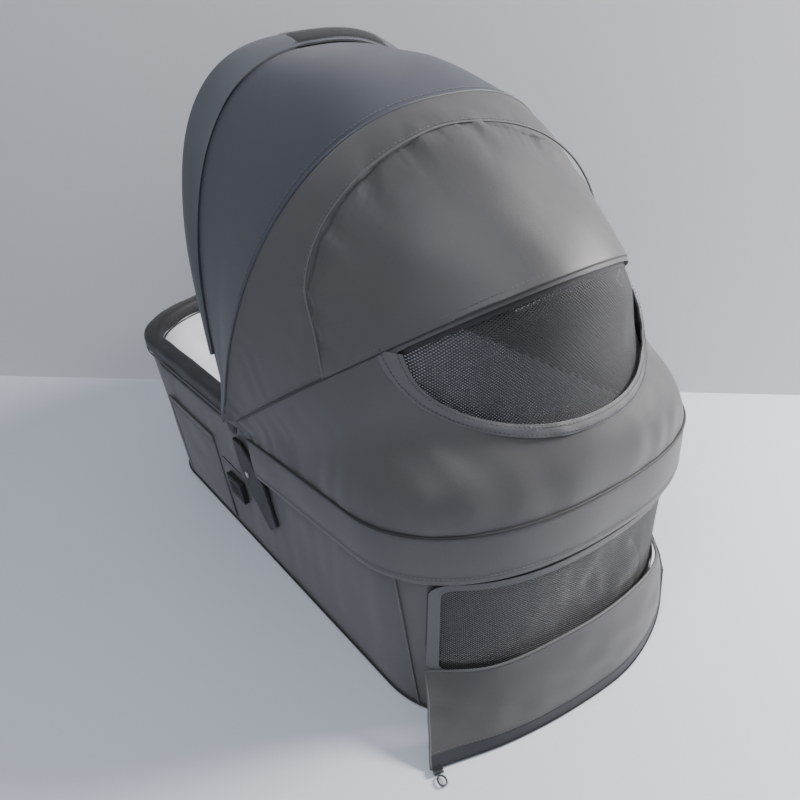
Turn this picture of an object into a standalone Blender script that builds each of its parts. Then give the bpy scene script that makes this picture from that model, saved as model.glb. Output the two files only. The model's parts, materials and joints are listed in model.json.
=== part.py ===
"""Pet stroller carrycot: a soft tub with a folding three-bow hood and a zip-down end flap.

The tub's long axis is Y. The rounded head end, under the hood, points to -Y and the foot end to +Y.
Everything is laid out from the hood's hub axis (y = 0 in the layout frame), and the whole layout is
then shifted by one empty, so that the origin is the centre of the footprint, on the floor.
"""
import bpy
import bmesh
from math import atan2, cos, degrees, hypot, pi, radians, sin
from mathutils import Matrix, Vector

# ---------------------------------------------------------------- driving dimensions (metres)
TUB_HALF_WIDTH = 0.206      # outer face of the rim band
HEAD_LENGTH = 0.399         # hub axis to the rim band's outer face at the head end
FOOT_LENGTH = 0.465         # hub axis to the rim band's outer face at the foot end
HEAD_CORNER = 0.1525        # depth of the rounded head end
FOOT_CORNER = 0.150         # depth of the rounded foot end
HEAD_POWER = 2.33           # superellipse power of the head end
FOOT_POWER = 2.13           # superellipse power of the foot end
RIM_HEIGHT = 0.2607         # top of the rim at the hub axis
RIM_SLOPE = -0.0257         # rise of the rim per metre of y
WALL_LEAN = 0.019           # how far the walls lean in from the rim to the floor

GAP = 0.0003                # clearance between touching pieces
BAND_WIDTH = 0.026          # padded rim band, an upside-down channel
BAND_HEIGHT = 0.025
BAND_WALL = 0.0025
BAND_ROUND = 0.006
FRAME_TUBE_RADIUS = 0.0070
SHELL_DEPTH = 0.0030        # outer face of the tub fabric, inside the rim band's face
SHELL_WALL = 0.0025
SHELL_FLOOR_GAP = 0.0030
LINER_WALL = 0.0100
BASE_THICKNESS = 0.0060
FOOT_RADIUS = 0.0120
FOOT_HEIGHT = 0.0040
FOOT_PLACE = (0.120, 0.270)
MATTRESS_THICKNESS = 0.034
MATTRESS_GAP = 0.0020
MATTRESS_ROUND = 0.009

WINDOW_HALF_WIDTH = 0.168   # end window in the head wall
WINDOW_LOW = 0.072
WINDOW_HIGH = 0.198
WINDOW_ROUND = 0.012
MESH_WALL = 0.0010
MESH_GAP = 0.0005

HOOD_SKIN = 0.0022
SKIRT_PROUD = 0.0030        # skirt and piping line, outside the rim band's face
PIPING_HEIGHT = RIM_HEIGHT - 0.0250     # piping line at the hub axis
PIPING_SLOPE = -0.0925      # rise of the piping per metre of y
SKIRT_HEIGHT = 0.057
SKIRT_TUCK = 0.002
SKIRT_START = 0.020

HUB_HEIGHT = RIM_HEIGHT - 0.0077
HUB_GAP = 0.0005            # hub base plate to rim band
HUB_RADIUS = 0.015
HUB_PLATE = 0.0018
LUG_PLATE = 0.0025
LUG_RADIUS = 0.0080
LUG_HALF_WIDTH = 0.0045
LUG_LENGTH = 0.0450
LUG_END_GAP = 0.0010
PIN_RADIUS = 0.0030
CAP_RADIUS = 0.0135
CAP_HEIGHT = 0.0025
BOW_TUBE_RADIUS = 0.0040
BOW_COVER_GAP = 0.0030      # bow tube to the fabric over it
LUG_BLEND = 0.045           # length over which a bow tube runs out of its lug's plane

# each hood line: half width, radius, superellipse power, angle up from +Y, and how far the soft
# hood leans to -X at the line's top
FRONT_EDGE = (0.2135, 0.4130, 2.90, 77.8, 0.010)
BAND_SEAM = (0.2170, 0.3970, 2.50, 83.2, 0.012)
MID_BOW = (0.2290, 0.4080, 2.45, 117.7, 0.022)
REAR_BOW = (0.2200, 0.4500, 2.00, 147.4, 0.032)
LEAN_START = 0.060          # distance from the hub axis where the lean begins
PANEL_SAG = 0.005           # how far the fabric dips between two lines
REAR_PANEL_SAG = 0.026
FRONT_TUBE_SHARE = 0.35     # place of the front bow tube between the front edge and the band's seam
PANEL_START = 0.062         # distance from the hub axis where the panels begin
BAND_START = 0.095
SEAM_GAP = 0.0020           # between neighbouring hood panels
PIPING_GAP = 0.0006
ARC_STEPS = 22
PANEL_STEPS = 4
TUBE_STEPS = 28

HALF_MOON_HALF_WIDTH = 0.146
HALF_MOON_SHIFT = -0.014    # the window leans with the hood
HALF_MOON_LOW = 0.100       # lowest point of the hood window above the hub axis
HALF_MOON_EDGE = 0.158      # height of its two ends above the hub axis
HALF_MOON_STRIP = 0.008     # fabric strip left under the rear bow
HALF_MOON_POWER = 3.0

GRIP_HALF_LENGTH = 0.064
GRIP_OFFSET = 0.040         # it is sewn on upright of the leaning hood
GRIP_DEPTH = 0.026
GRIP_THICKNESS = 0.0045
GRIP_STEPS = 8

ADAPTER_TOP = 0.207
ADAPTER_THICKNESS = 0.0055
ADAPTER_OUTLINE = ((0.046, 0.0), (0.026, 0.0), (-0.004, -0.030), (-0.020, -0.044), (-0.028, -0.105),
                   (-0.003, -0.126), (0.030, -0.085), (0.046, -0.045))
BUTTON_CENTRE = (0.088, 0.102)
BUTTON_HALF = (0.017, 0.013)
BUTTON_THICKNESS = 0.0036
BUTTON_FRAME = 0.0035
BUTTON_CLEARANCE = 0.0005
SPRING_RADIUS = 0.0045
SPRING_WIRE = 0.0004
SPRING_LENGTH = 0.0042
SPRING_TURNS = 3
RIVET_RADIUS = 0.0045
RIVET_HEIGHT = 0.0014
RIVET_PLACE = (0.024, -0.047)

POCKET_FROM = 0.146
POCKET_TO = 0.308
POCKET_LOW = 0.014
POCKET_HIGH = 0.160
POCKET_SLOPE = 0.96           # share of its height left at the head end
POCKET_WALL = 0.0020

FLAP_SEGMENTS = 5
FLAP_HALF_ANGLE = 31.5      # the flap spans this each side of the head tip, seen from the hub
FLAP_FOLD_SIDE = 0.070      # height of the fold line at the side seams
FLAP_FOLD_TIP = 0.098       # and at the head tip
FLAP_SKIN = 0.0022
FLAP_STANDOFF = 0.0078      # flap corners to the wall, which bulges between them
FLAP_FLOOR = 0.0022
FLAP_REACH_TIP = HEAD_LENGTH + 0.0085     # hub axis to the free edge at rest, at the head tip
FLAP_CORNERS = ((TUB_HALF_WIDTH - 0.006, HEAD_LENGTH - 0.077),      # x and reach of its two corners,
                (-TUB_HALF_WIDTH - 0.010, HEAD_LENGTH - 0.032))     # pulled askew
TAPE_WIDTH = 0.011
TAPE_SKIN = 0.0018
TAPE_END_GAP = 0.0010
SLIDER_SIZE = (0.011, 0.008, 0.0050)
PULL_RADIUS = 0.0062
PULL_WIRE = 0.0010

CORNER_STEPS = 7
SIDE_STEPS = 3

# ---------------------------------------------------------------- derived places
FOOTPRINT_SHIFT = (max(FLAP_REACH_TIP, HEAD_LENGTH + SKIRT_PROUD) - FOOT_LENGTH) / 2
HUB_FACE = TUB_HALF_WIDTH + HUB_GAP
LUG_FACE = HUB_FACE + HUB_PLATE + GAP
LUG_PITCH = LUG_PLATE + GAP
CAP_FACE = LUG_FACE + 3 * LUG_PITCH
LINER_DEPTH = SHELL_DEPTH + SHELL_WALL + GAP * 2
BASE_TOP = FOOT_HEIGHT + GAP + BASE_THICKNESS
TUBE_DROP = BAND_WALL + GAP * 2 + FRAME_TUBE_RADIUS
WALL_TOP_DROP = TUBE_DROP + FRAME_TUBE_RADIUS + GAP * 5


# ---------------------------------------------------------------- scene helpers
def clear_scene():
    for obj in list(bpy.data.objects):
        bpy.data.objects.remove(obj, do_unlink=True)


def material(name, colour, roughness, metallic=0.0):
    mat = bpy.data.materials.new(name)
    mat.use_nodes = True
    shader = mat.node_tree.nodes["Principled BSDF"]
    shader.inputs["Base Color"].default_value = (*colour, 1.0)
    shader.inputs["Roughness"].default_value = roughness
    shader.inputs["Metallic"].default_value = metallic
    return mat


def place(obj, mat, origin=(0, 0, 0)):
    """Put an object in the part's collection, under the layout empty, with its own material."""
    PARTS.objects.link(obj)
    obj.parent = LAYOUT
    obj.location = origin
    obj.data.materials.clear()
    obj.data.materials.append(mat)
    return obj


def mesh_object(name, points, faces, mat, origin=(0, 0, 0), smooth=True):
    """A mesh from layout points, stored relative to its origin."""
    mesh = bpy.data.meshes.new(name)
    base = Vector(origin)
    mesh.from_pydata([Vector(p) - base for p in points], [], faces)
    mesh.update()
    if smooth:
        mesh.shade_smooth()
        mesh.set_sharp_from_angle(angle=radians(40))
    return place(bpy.data.objects.new(name, mesh), mat, origin)


def solidify(obj, thickness, offset=-1.0):
    mod = obj.modifiers.new("thickness", "SOLIDIFY")
    mod.thickness = thickness
    mod.offset = offset
    mod.use_even_offset = False
    return obj


def bevel(obj, width, segments=2):
    mod = obj.modifiers.new("edges", "BEVEL")
    mod.width = width
    mod.segments = segments
    mod.limit_method = "ANGLE"
    return obj


def boolean(obj, cutter, operation="DIFFERENCE"):
    mod = obj.modifiers.new(operation.lower(), "BOOLEAN")
    mod.operation = operation
    mod.solver = "EXACT"
    mod.object = cutter
    return obj


def as_cutter(obj):
    PARTS.objects.unlink(obj)
    CUTTERS.objects.link(obj)
    obj.hide_render = True
    obj.display_type = "WIRE"
    return obj


def grid_faces(rows, columns, wrap=False):
    """Quads over a grid of rows x columns points; wrap joins the last column to the first."""
    faces = []
    last = columns if wrap else columns - 1
    for r in range(rows - 1):
        for c in range(last):
            d = (c + 1) % columns
            faces.append((r * columns + c, r * columns + d, (r + 1) * columns + d, (r + 1) * columns + c))
    return faces


def curve_mesh(name, curve, mat, origin=(0, 0, 0), turn=None):
    """Turn a curve into a mesh with its caps welded on."""
    guide = bpy.data.objects.new(name + "_curve", curve)
    PARTS.objects.link(guide)
    evaluated = guide.evaluated_get(bpy.context.evaluated_depsgraph_get())
    mesh = bpy.data.meshes.new_from_object(evaluated)
    bpy.data.objects.remove(guide, do_unlink=True)
    shape = bmesh.new()
    shape.from_mesh(mesh)
    bmesh.ops.remove_doubles(shape, verts=shape.verts, dist=0.00002)
    if turn is not None:
        bmesh.ops.transform(shape, matrix=turn, verts=shape.verts)
    bmesh.ops.recalc_face_normals(shape, faces=shape.faces)
    shape.to_mesh(mesh)
    shape.free()
    mesh.shade_smooth()
    mesh.set_sharp_from_angle(angle=radians(40))
    obj = bpy.data.objects.new(name, mesh)
    return place(obj, mat, origin)


def tube(name, points, radius, mat, origin=(0, 0, 0), closed=False):
    curve = bpy.data.curves.new(name, "CURVE")
    curve.dimensions = "3D"
    curve.bevel_depth = radius
    curve.bevel_resolution = 2
    curve.use_fill_caps = not closed
    spline = curve.splines.new("POLY")
    spline.points.add(len(points) - 1)
    for knot, point in zip(spline.points, points):
        knot.co = (*point, 1.0)
    spline.use_cyclic_u = closed
    return curve_mesh(name, curve, mat, origin)


# local x, y, z of a flat outline become y, z, x, so that a plate stands against a side wall
SIDE_TURN = Matrix(((0, 0, 1, 0), (1, 0, 0, 0), (0, 1, 0, 0), (0, 0, 0, 1)))


def plate(name, loops, low, high, mat, origin=(0, 0, 0), turn=SIDE_TURN):
    """A flat plate from closed (y, z) loops, the first one the outline, between x = low and high."""
    curve = bpy.data.curves.new(name, "CURVE")
    curve.dimensions = "2D"
    curve.fill_mode = "BOTH"
    curve.extrude = (high - low) / 2
    for loop in loops:
        spline = curve.splines.new("POLY")
        spline.points.add(len(loop) - 1)
        for knot, (u, v) in zip(spline.points, loop):
            knot.co = (u, v, 0.0, 1.0)
        spline.use_cyclic_u = True
    shift = Matrix.Translation((0, 0, (low + high) / 2))
    return curve_mesh(name, curve, mat, origin, turn @ shift)


def circle(radius, steps=20, centre=(0, 0)):
    return [(centre[0] + radius * cos(2 * pi * i / steps), centre[1] + radius * sin(2 * pi * i / steps))
            for i in range(steps)]


def turned(name, profile, mat, origin, side=0, steps=24):
    """A turned piece: profile of (radius, height) down its outer side. side 0 stands along +Z,
    side 1 or -1 lies along +X or -X."""
    mesh = bpy.data.meshes.new(name)
    points = [(radius, 0, height) for radius, height in profile]
    mesh.from_pydata(points, [(i, i + 1) for i in range(len(points) - 1)], [])
    obj = place(bpy.data.objects.new(name, mesh), mat, origin)
    obj.rotation_euler = (0, side * pi / 2, 0)
    mod = obj.modifiers.new("turn", "SCREW")
    mod.steps = steps
    mod.render_steps = steps
    mod.use_merge_vertices = True
    mod.merge_threshold = 0.00001
    mod.use_smooth_shade = False
    return obj


# ---------------------------------------------------------------- tub outline
def rim_height(y):
    return RIM_HEIGHT + RIM_SLOPE * y


def cap_point(half_width, straight, corner, power, angle):
    """One point of a rounded end: angle 0 at the side, 90 degrees at the tip."""
    return half_width * cos(angle) ** (2 / power), straight + corner * sin(angle) ** (2 / power)


def half_outline(inset, corner_depth, length, power):
    """Points from the side at y = 0 to the tip of one end, in the first quadrant."""
    half_width = TUB_HALF_WIDTH - inset
    straight = length - corner_depth
    points = [(half_width, straight * i / SIDE_STEPS) for i in range(SIDE_STEPS)]
    for i in range(CORNER_STEPS + 1):
        points.append(cap_point(half_width, straight, corner_depth - inset, power, i * pi / 2 / CORNER_STEPS))
    return points


def outline(inset):
    """The whole plan outline, anticlockwise, moved inwards by inset."""
    foot = half_outline(inset, FOOT_CORNER, FOOT_LENGTH, FOOT_POWER)
    head = half_outline(inset, HEAD_CORNER, HEAD_LENGTH, HEAD_POWER)
    points = foot + [(-x, y) for x, y in reversed(foot[:-1])]
    points += [(-x, -y) for x, y in head[1:]] + [(x, -y) for x, y in reversed(head[1:-1])]
    return points


def level_ring(depth, z):
    """A flat ring on the leaning wall, depth inside the tub's outer face."""
    inset = depth + WALL_LEAN * (1 - z / RIM_HEIGHT)
    return [(x, y, z) for x, y in outline(inset)]


def rim_ring(depth, drop):
    """A ring that follows the sloping rim, drop below it."""
    inset = depth + WALL_LEAN * drop / RIM_HEIGHT
    return [(x, y, rim_height(y) - drop) for x, y in outline(inset)]


def ring_wall(name, rings, mat):
    """An open wall surface through rings from the bottom up, facing outwards."""
    count = len(rings[0])
    points = [p for ring in rings for p in ring]
    return mesh_object(name, points, grid_faces(len(rings), count, wrap=True), mat)


def head_point(angle, inset, z):
    """The wall's outline in plan, on the ray at angle from +X towards the head tip at -Y."""
    half_width = TUB_HALF_WIDTH - inset
    straight = HEAD_LENGTH - HEAD_CORNER
    corner = HEAD_CORNER - inset
    low, high = 0.0, HEAD_LENGTH + TUB_HALF_WIDTH
    for _ in range(40):
        middle = (low + high) / 2
        across = abs(middle * cos(angle)) / half_width
        along = max(middle * sin(angle) - straight, 0) / corner
        if across ** HEAD_POWER + along ** HEAD_POWER < 1:
            low = middle
        else:
            high = middle
    return Vector((low * cos(angle), -low * sin(angle), z))


# ---------------------------------------------------------------- tub
def build_tub():
    shell = ring_wall("tub_shell", [level_ring(SHELL_DEPTH, SHELL_FLOOR_GAP),
                                    rim_ring(SHELL_DEPTH, WALL_TOP_DROP)], GREY_FABRIC)
    solidify(shell, SHELL_WALL)
    liner = ring_wall("tub_liner", [level_ring(LINER_DEPTH, BASE_TOP + GAP),
                                    rim_ring(LINER_DEPTH, WALL_TOP_DROP)], LINER_FABRIC)
    solidify(liner, LINER_WALL)
    opening = window_prism("end_window_cutter", 0.0)
    boolean(shell, opening)
    boolean(liner, opening)

    mesh_depth = SHELL_DEPTH + SHELL_WALL / 2
    mesh = ring_wall("end_window_mesh", [level_ring(mesh_depth, SHELL_FLOOR_GAP),
                                         rim_ring(mesh_depth, WALL_TOP_DROP)], BLACK_MESH)
    solidify(mesh, MESH_WALL)
    boolean(mesh, window_prism("end_mesh_cutter", MESH_GAP), "INTERSECT")

    base = flat_slab("base_board", level_ring(SHELL_DEPTH + SHELL_WALL + GAP * 2, FOOT_HEIGHT + GAP),
                     BASE_THICKNESS, BLACK_PLASTIC)
    bevel(base, 0.0015, 1)
    depth = LINER_DEPTH + LINER_WALL + MATTRESS_GAP
    mattress = flat_slab("mattress", level_ring(depth, BASE_TOP + GAP), MATTRESS_THICKNESS, LINER_FABRIC)
    bevel(mattress, MATTRESS_ROUND, 3)
    profile = ((0, FOOT_HEIGHT), (FOOT_RADIUS * 0.9, FOOT_HEIGHT), (FOOT_RADIUS, 0.001),
               (FOOT_RADIUS * 0.9, 0), (0, 0))
    for index, (side, end) in enumerate(((-1, -1), (1, -1), (-1, 1), (1, 1)), 1):
        turned(f"foot_{index}", profile, RUBBER, (side * FOOT_PLACE[0], end * FOOT_PLACE[1], 0), steps=16)


def flat_slab(name, ring, thickness, mat):
    count = len(ring)
    points = ring + [(x, y, z + thickness) for x, y, z in ring]
    faces = [tuple(reversed(range(count))), tuple(range(count, 2 * count))]
    faces += grid_faces(2, count, wrap=True)
    return mesh_object(name, points, faces, mat)


def window_prism(name, gap):
    """The end window's rounded outline, run along Y through the head wall."""
    half = WINDOW_HALF_WIDTH - gap
    low, high = WINDOW_LOW + gap, WINDOW_HIGH - gap
    loop = []
    for cx, cz, start in ((half, high, 0), (-half, high, 90), (-half, low, 180), (half, low, 270)):
        inner = (cx - WINDOW_ROUND * (1 if cx > 0 else -1), cz - WINDOW_ROUND * (1 if cz == high else -1))
        for i in range(5):
            angle = radians(start + 90 * i / 4)
            loop.append((inner[0] + WINDOW_ROUND * cos(angle), inner[1] + WINDOW_ROUND * sin(angle)))
    return end_prism(name, loop)


def end_prism(name, loop):
    """A cutter: a closed (x, z) loop, run along Y through the head end only."""
    near, far = -HEAD_LENGTH * 0.45, -HEAD_LENGTH * 1.3
    count = len(loop)
    points = [(x, near, z) for x, z in loop] + [(x, far, z) for x, z in loop]
    faces = [tuple(reversed(range(count))), tuple(range(count, 2 * count))] + grid_faces(2, count, wrap=True)
    obj = mesh_object(name, points, faces, BLACK_PLASTIC, smooth=False)
    fix = bmesh.new()
    fix.from_mesh(obj.data)
    bmesh.ops.recalc_face_normals(fix, faces=fix.faces)
    fix.to_mesh(obj.data)
    fix.free()
    return as_cutter(obj)


def build_rim():
    inner = BAND_WIDTH - BAND_WALL
    profile = [(0, BAND_HEIGHT), (0, BAND_ROUND), (BAND_ROUND * 0.3, BAND_ROUND * 0.3), (BAND_ROUND, 0),
               (BAND_WIDTH - BAND_ROUND, 0), (BAND_WIDTH - BAND_ROUND * 0.3, BAND_ROUND * 0.3),
               (BAND_WIDTH, BAND_ROUND), (BAND_WIDTH, BAND_HEIGHT), (inner, BAND_HEIGHT),
               (inner, BAND_ROUND), (inner - BAND_ROUND * 0.6, BAND_WALL), (BAND_ROUND, BAND_WALL),
               (BAND_WALL, BAND_ROUND), (BAND_WALL, BAND_HEIGHT)]
    rings = [rim_ring(depth, drop) for depth, drop in profile]
    rings.append(rings[0])
    count = len(rings[0])
    points = [p for ring in rings[:-1] for p in ring]
    faces = []
    for a in range(len(profile)):
        b = (a + 1) % len(profile)
        for c in range(count):
            d = (c + 1) % count
            faces.append((a * count + c, a * count + d, b * count + d, b * count + c))
    mesh_object("rim_band", points, faces, CHARCOAL_FABRIC)

    middle = BAND_WIDTH / 2
    tube("rim_frame", rim_ring(middle, TUBE_DROP), FRAME_TUBE_RADIUS, ALUMINIUM, closed=True)


def piping_height(y):
    return PIPING_HEIGHT + PIPING_SLOPE * y


def skirt_path(inset, rise, angles):
    """Points round the head end on the piping line, moved down by rise."""
    points = []
    for angle in angles:
        point = head_point(angle, inset, 0)
        points.append((point.x, point.y, piping_height(point.y) - rise))
    return points


def build_skirt():
    start = atan2(SKIRT_START, TUB_HALF_WIDTH)
    angles = even_angles(start, 2 * ARC_STEPS)
    low = skirt_path(-SKIRT_PROUD + SKIRT_TUCK, SKIRT_HEIGHT, angles)
    high = skirt_path(-SKIRT_PROUD, PIPING_GAP, angles)
    obj = mesh_object("hood_skirt", high + low, grid_faces(2, len(low)), GREY_FABRIC)
    solidify(obj, HOOD_SKIN)


def even_angles(start, steps):
    return [start + (pi - 2 * start) * i / steps for i in range(steps + 1)]


# ---------------------------------------------------------------- hood
def arch_radius(half_width, radius, power, angle):
    """Distance from the hub's middle to a superellipse arch, at angle from +X in its own plane."""
    across = abs(cos(angle)) / half_width
    up = abs(sin(angle)) / radius
    return (across ** power + up ** power) ** (-1 / power)


def hub_point(across, reach, angle):
    """A point from its distance across, its reach from the hub axis and its angle up from +Y."""
    return Vector((across, reach * cos(angle), reach * sin(angle)))


def line_point(line, angle, inset=0.0):
    half_width, radius, power, tilt, lean = line
    distance = arch_radius(half_width - inset, radius - inset, power, angle)
    reach = distance * sin(angle)
    shift = lean * max(reach - LEAN_START, 0) / (radius - LEAN_START)
    return hub_point(distance * cos(angle) - shift, reach, radians(tilt))


def between(first, second, share):
    return tuple(a + (b - a) * share for a, b in zip(first, second))


def seam_trim(line, angle, width):
    """Half a seam gap, as a share of a panel that is width degrees wide, on the ray at angle."""
    reach = arch_radius(*line[:3], angle) * sin(angle)
    return SEAM_GAP / 2 / (reach * radians(width))


def arch_panel(name, first, second, start, mat, sag):
    """Fabric stretched between two hood lines, trimmed back by half a seam gap at each."""
    angles = even_angles(atan2(start, first[0]), ARC_STEPS)
    points = []
    for row in range(PANEL_STEPS + 1):
        for angle in angles:
            trim = seam_trim(first, angle, second[3] - first[3])
            share = trim + (1 - 2 * trim) * row / PANEL_STEPS
            dip = sag * sin(pi * share) * sin(angle)
            points.append(line_point(between(first, second, share), angle, dip))
    obj = mesh_object(name, points, grid_faces(PANEL_STEPS + 1, ARC_STEPS + 1), mat)
    obj.location = (0, 0, HUB_HEIGHT)
    return solidify(obj, HOOD_SKIN)


def rear_panel_point(angle, share):
    """The rear panel runs from the rear bow down to the piping line."""
    upper = line_point(REAR_BOW, angle)
    lower = head_point(angle, -SKIRT_PROUD, 0)
    lower.z = piping_height(lower.y) - HUB_HEIGHT
    upper_reach, lower_reach = hypot(upper.y, upper.z), hypot(lower.y, lower.z)
    upper_tilt, lower_tilt = atan2(upper.z, upper.y), atan2(lower.z, lower.y)
    if lower_tilt < 0:
        lower_tilt += 2 * pi
    reach = upper_reach + (lower_reach - upper_reach) * share
    tilt = upper_tilt + (lower_tilt - upper_tilt) * share
    point = hub_point(upper.x + (lower.x - upper.x) * sin(pi * share / 2), reach, tilt)
    dip = REAR_PANEL_SAG * (sin(pi * share) * sin(angle)) ** 3
    return point * (1 - dip / point.length)


def rear_panel_surface(name, mat, inset, thickness):
    steps = PANEL_STEPS + 2
    angles = even_angles(atan2(PANEL_START, TUB_HALF_WIDTH), ARC_STEPS + 6)
    points = []
    for row in range(steps + 1):
        for angle in angles:
            first = seam_trim(REAR_BOW, angle, 180 - REAR_BOW[3])
            last = 1 - first * PIPING_GAP / SEAM_GAP
            point = rear_panel_point(angle, first + (last - first) * row / steps)
            points.append(point - point.normalized() * inset)
    obj = mesh_object(name, points, grid_faces(steps + 1, len(angles)), mat)
    obj.location = (0, 0, HUB_HEIGHT)
    return solidify(obj, thickness)


def half_moon_prism(name, gap):
    """The hood window: a shallow bowl outline under the rear bow, run along Y."""
    steps = 12
    half = HALF_MOON_HALF_WIDTH - gap
    loop = []
    for i in range(steps + 1):
        angle = pi + pi * i / steps
        depth = abs(sin(angle)) ** (2 / HALF_MOON_POWER)
        across = abs(cos(angle)) ** (2 / HALF_MOON_POWER) * (1 if cos(angle) > 0 else -1)
        drop = HALF_MOON_EDGE - HALF_MOON_LOW - gap
        loop.append((HALF_MOON_SHIFT + half * across, HUB_HEIGHT + HALF_MOON_EDGE - drop * depth))
    for angle in even_angles(radians(40), 2 * steps):
        point = line_point(REAR_BOW, angle)
        if abs(point.x - HALF_MOON_SHIFT) < half:
            loop.append((point.x, HUB_HEIGHT + point.z - HALF_MOON_STRIP - gap))
    return end_prism(name, loop)


def bow_tube(name, line, lug_centre):
    """A bent bow: it follows its hood line inside the fabric and runs into its lug's plane."""
    inset = HOOD_SKIN + BOW_COVER_GAP + BOW_TUBE_RADIUS
    start = LUG_LENGTH + LUG_END_GAP
    angles = even_angles(atan2(start, line[0] - inset), TUBE_STEPS)
    points = []
    for angle in angles:
        point = line_point(line, angle, inset)
        reach = hypot(point.y, point.z)
        share = min(max((reach - start) / LUG_BLEND, 0), 1)
        share = share * share * (3 - 2 * share)
        side = 1 if point.x > 0 else -1
        if reach < start + LUG_BLEND:
            point.x = side * (lug_centre + (abs(point.x) - lug_centre) * share)
        points.append(point)
    obj = tube(name, points, BOW_TUBE_RADIUS, ALUMINIUM)
    obj.location = (0, 0, HUB_HEIGHT)
    return obj


def lug(name, side, place_index, tilt, mat):
    """A bow's end lug: an eye round the hinge pin and a bar out to the tube's end."""
    eye = []
    steps = 12
    spread = pi - LUG_HALF_WIDTH / LUG_RADIUS
    for i in range(steps + 1):
        angle = pi - spread / 1.35 + 2 * spread / 1.35 * i / steps
        eye.append((LUG_RADIUS * cos(angle), LUG_RADIUS * sin(angle)))
    bar = [(LUG_LENGTH, -LUG_HALF_WIDTH), (LUG_LENGTH, LUG_HALF_WIDTH)]
    loop = eye + bar
    bore = circle(PIN_RADIUS + GAP, 16)
    c, s = cos(tilt), sin(tilt)
    loops = [[(u * c - v * s, u * s + v * c) for u, v in points] for points in (loop, bore)]
    inner = LUG_FACE + place_index * LUG_PITCH
    low, high = sorted((side * inner, side * (inner + LUG_PLATE)))
    obj = plate(name, loops, low, high, mat)
    obj.location = (0, 0, HUB_HEIGHT)
    return obj


def build_hubs():
    for label, side in (("left", -1), ("right", 1)):
        low, high = sorted((side * HUB_FACE, side * (HUB_FACE + HUB_PLATE)))
        plate(f"hub_base_{label}", [circle(HUB_RADIUS), circle(PIN_RADIUS + GAP, 16)], low, high,
              BLACK_PLASTIC, (0, 0, HUB_HEIGHT))
        length = CAP_FACE - GAP - HUB_FACE
        turned(f"hinge_pin_{label}", ((0, length), (PIN_RADIUS, length), (PIN_RADIUS, 0), (0, 0)), STEEL,
               (side * HUB_FACE, 0, HUB_HEIGHT), side, 16)
        rim = CAP_RADIUS
        profile = ((0, CAP_HEIGHT), (rim * 0.7, CAP_HEIGHT), (rim, CAP_HEIGHT * 0.4), (rim, 0), (0, 0))
        turned(f"hub_cap_{label}", profile, BLACK_PLASTIC, (side * CAP_FACE, 0, HUB_HEIGHT), side)


def build_hood():
    front_line = between(FRONT_EDGE, BAND_SEAM, FRONT_TUBE_SHARE)
    bows = (("rear_bow", REAR_BOW), ("front_bow", front_line), ("mid_bow", MID_BOW))
    for index, (name, line) in enumerate(bows):
        centre = LUG_FACE + index * LUG_PITCH + LUG_PLATE / 2
        bow_tube(f"{name}_tube", line, centre)
        for label, side in (("left", -1), ("right", 1)):
            lug(f"{name}_lug_{label}", side, index, radians(line[3]), BLACK_PLASTIC)
    arch_panel("hood_front_band", FRONT_EDGE, BAND_SEAM, BAND_START, CHARCOAL_FABRIC, 0.0)
    arch_panel("hood_panel_front", BAND_SEAM, MID_BOW, PANEL_START, GREY_FABRIC, PANEL_SAG)
    arch_panel("hood_panel_middle", MID_BOW, REAR_BOW, PANEL_START, GREY_FABRIC, PANEL_SAG)
    rear = rear_panel_surface("hood_panel_rear", GREY_FABRIC, 0.0, HOOD_SKIN)
    boolean(rear, half_moon_prism("hood_window_cutter", 0.0))
    mesh = rear_panel_surface("hood_window_mesh", BLACK_MESH, HOOD_SKIN / 2, MESH_WALL)
    boolean(mesh, half_moon_prism("hood_mesh_cutter", MESH_GAP), "INTERSECT")


def build_grip():
    """Leather grip sewn over the top of the front band."""
    proud = GRIP_THICKNESS + BOW_COVER_GAP
    spread = degrees(GRIP_DEPTH / FRONT_EDGE[1])
    points = []
    for row in range(3):
        share = row / 2
        line = between(FRONT_EDGE, BAND_SEAM, share * spread / (BAND_SEAM[3] - FRONT_EDGE[3]))
        limit = GRIP_HALF_LENGTH / line[1]
        for i in range(GRIP_STEPS + 1):
            angle = pi / 2 - GRIP_OFFSET / line[1] - limit + 2 * limit * i / GRIP_STEPS
            points.append(line_point(line, angle, -proud))
    obj = mesh_object("leather_grip", points, grid_faces(3, GRIP_STEPS + 1), LEATHER)
    obj.location = (0, 0, HUB_HEIGHT)
    solidify(obj, GRIP_THICKNESS)


# ---------------------------------------------------------------- side fittings
def wall_face(y, z):
    """Half width of the leaning side wall at a height."""
    return TUB_HALF_WIDTH - SHELL_DEPTH - WALL_LEAN * (1 - z / rim_height(y))


def lean_turn(side, y, z):
    """Stands a side plate on the leaning wall: its x = 0 plane touches the wall at y and height z."""
    tilt = Matrix.Rotation(side * atan2(WALL_LEAN, rim_height(y)), 4, "Y")
    return Matrix.Translation((side * wall_face(y, z), 0, z)) @ tilt @ SIDE_TURN


def side_plate(name, side, loops, height, low, high, mat):
    """A plate on the side wall; loops are (y, z) with z from the given height up the wall."""
    near, far = sorted((side * low, side * high))
    foremost = max(y for y, _ in loops[0])
    return plate(name, loops, near, far, mat, turn=lean_turn(side, foremost, height))


def box_loop(centre, half, grow=0.0):
    u, v = centre
    a, b = half[0] + grow, half[1] + grow
    return [(u - a, v - b), (u + a, v - b), (u + a, v + b), (u - a, v + b)]


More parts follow.
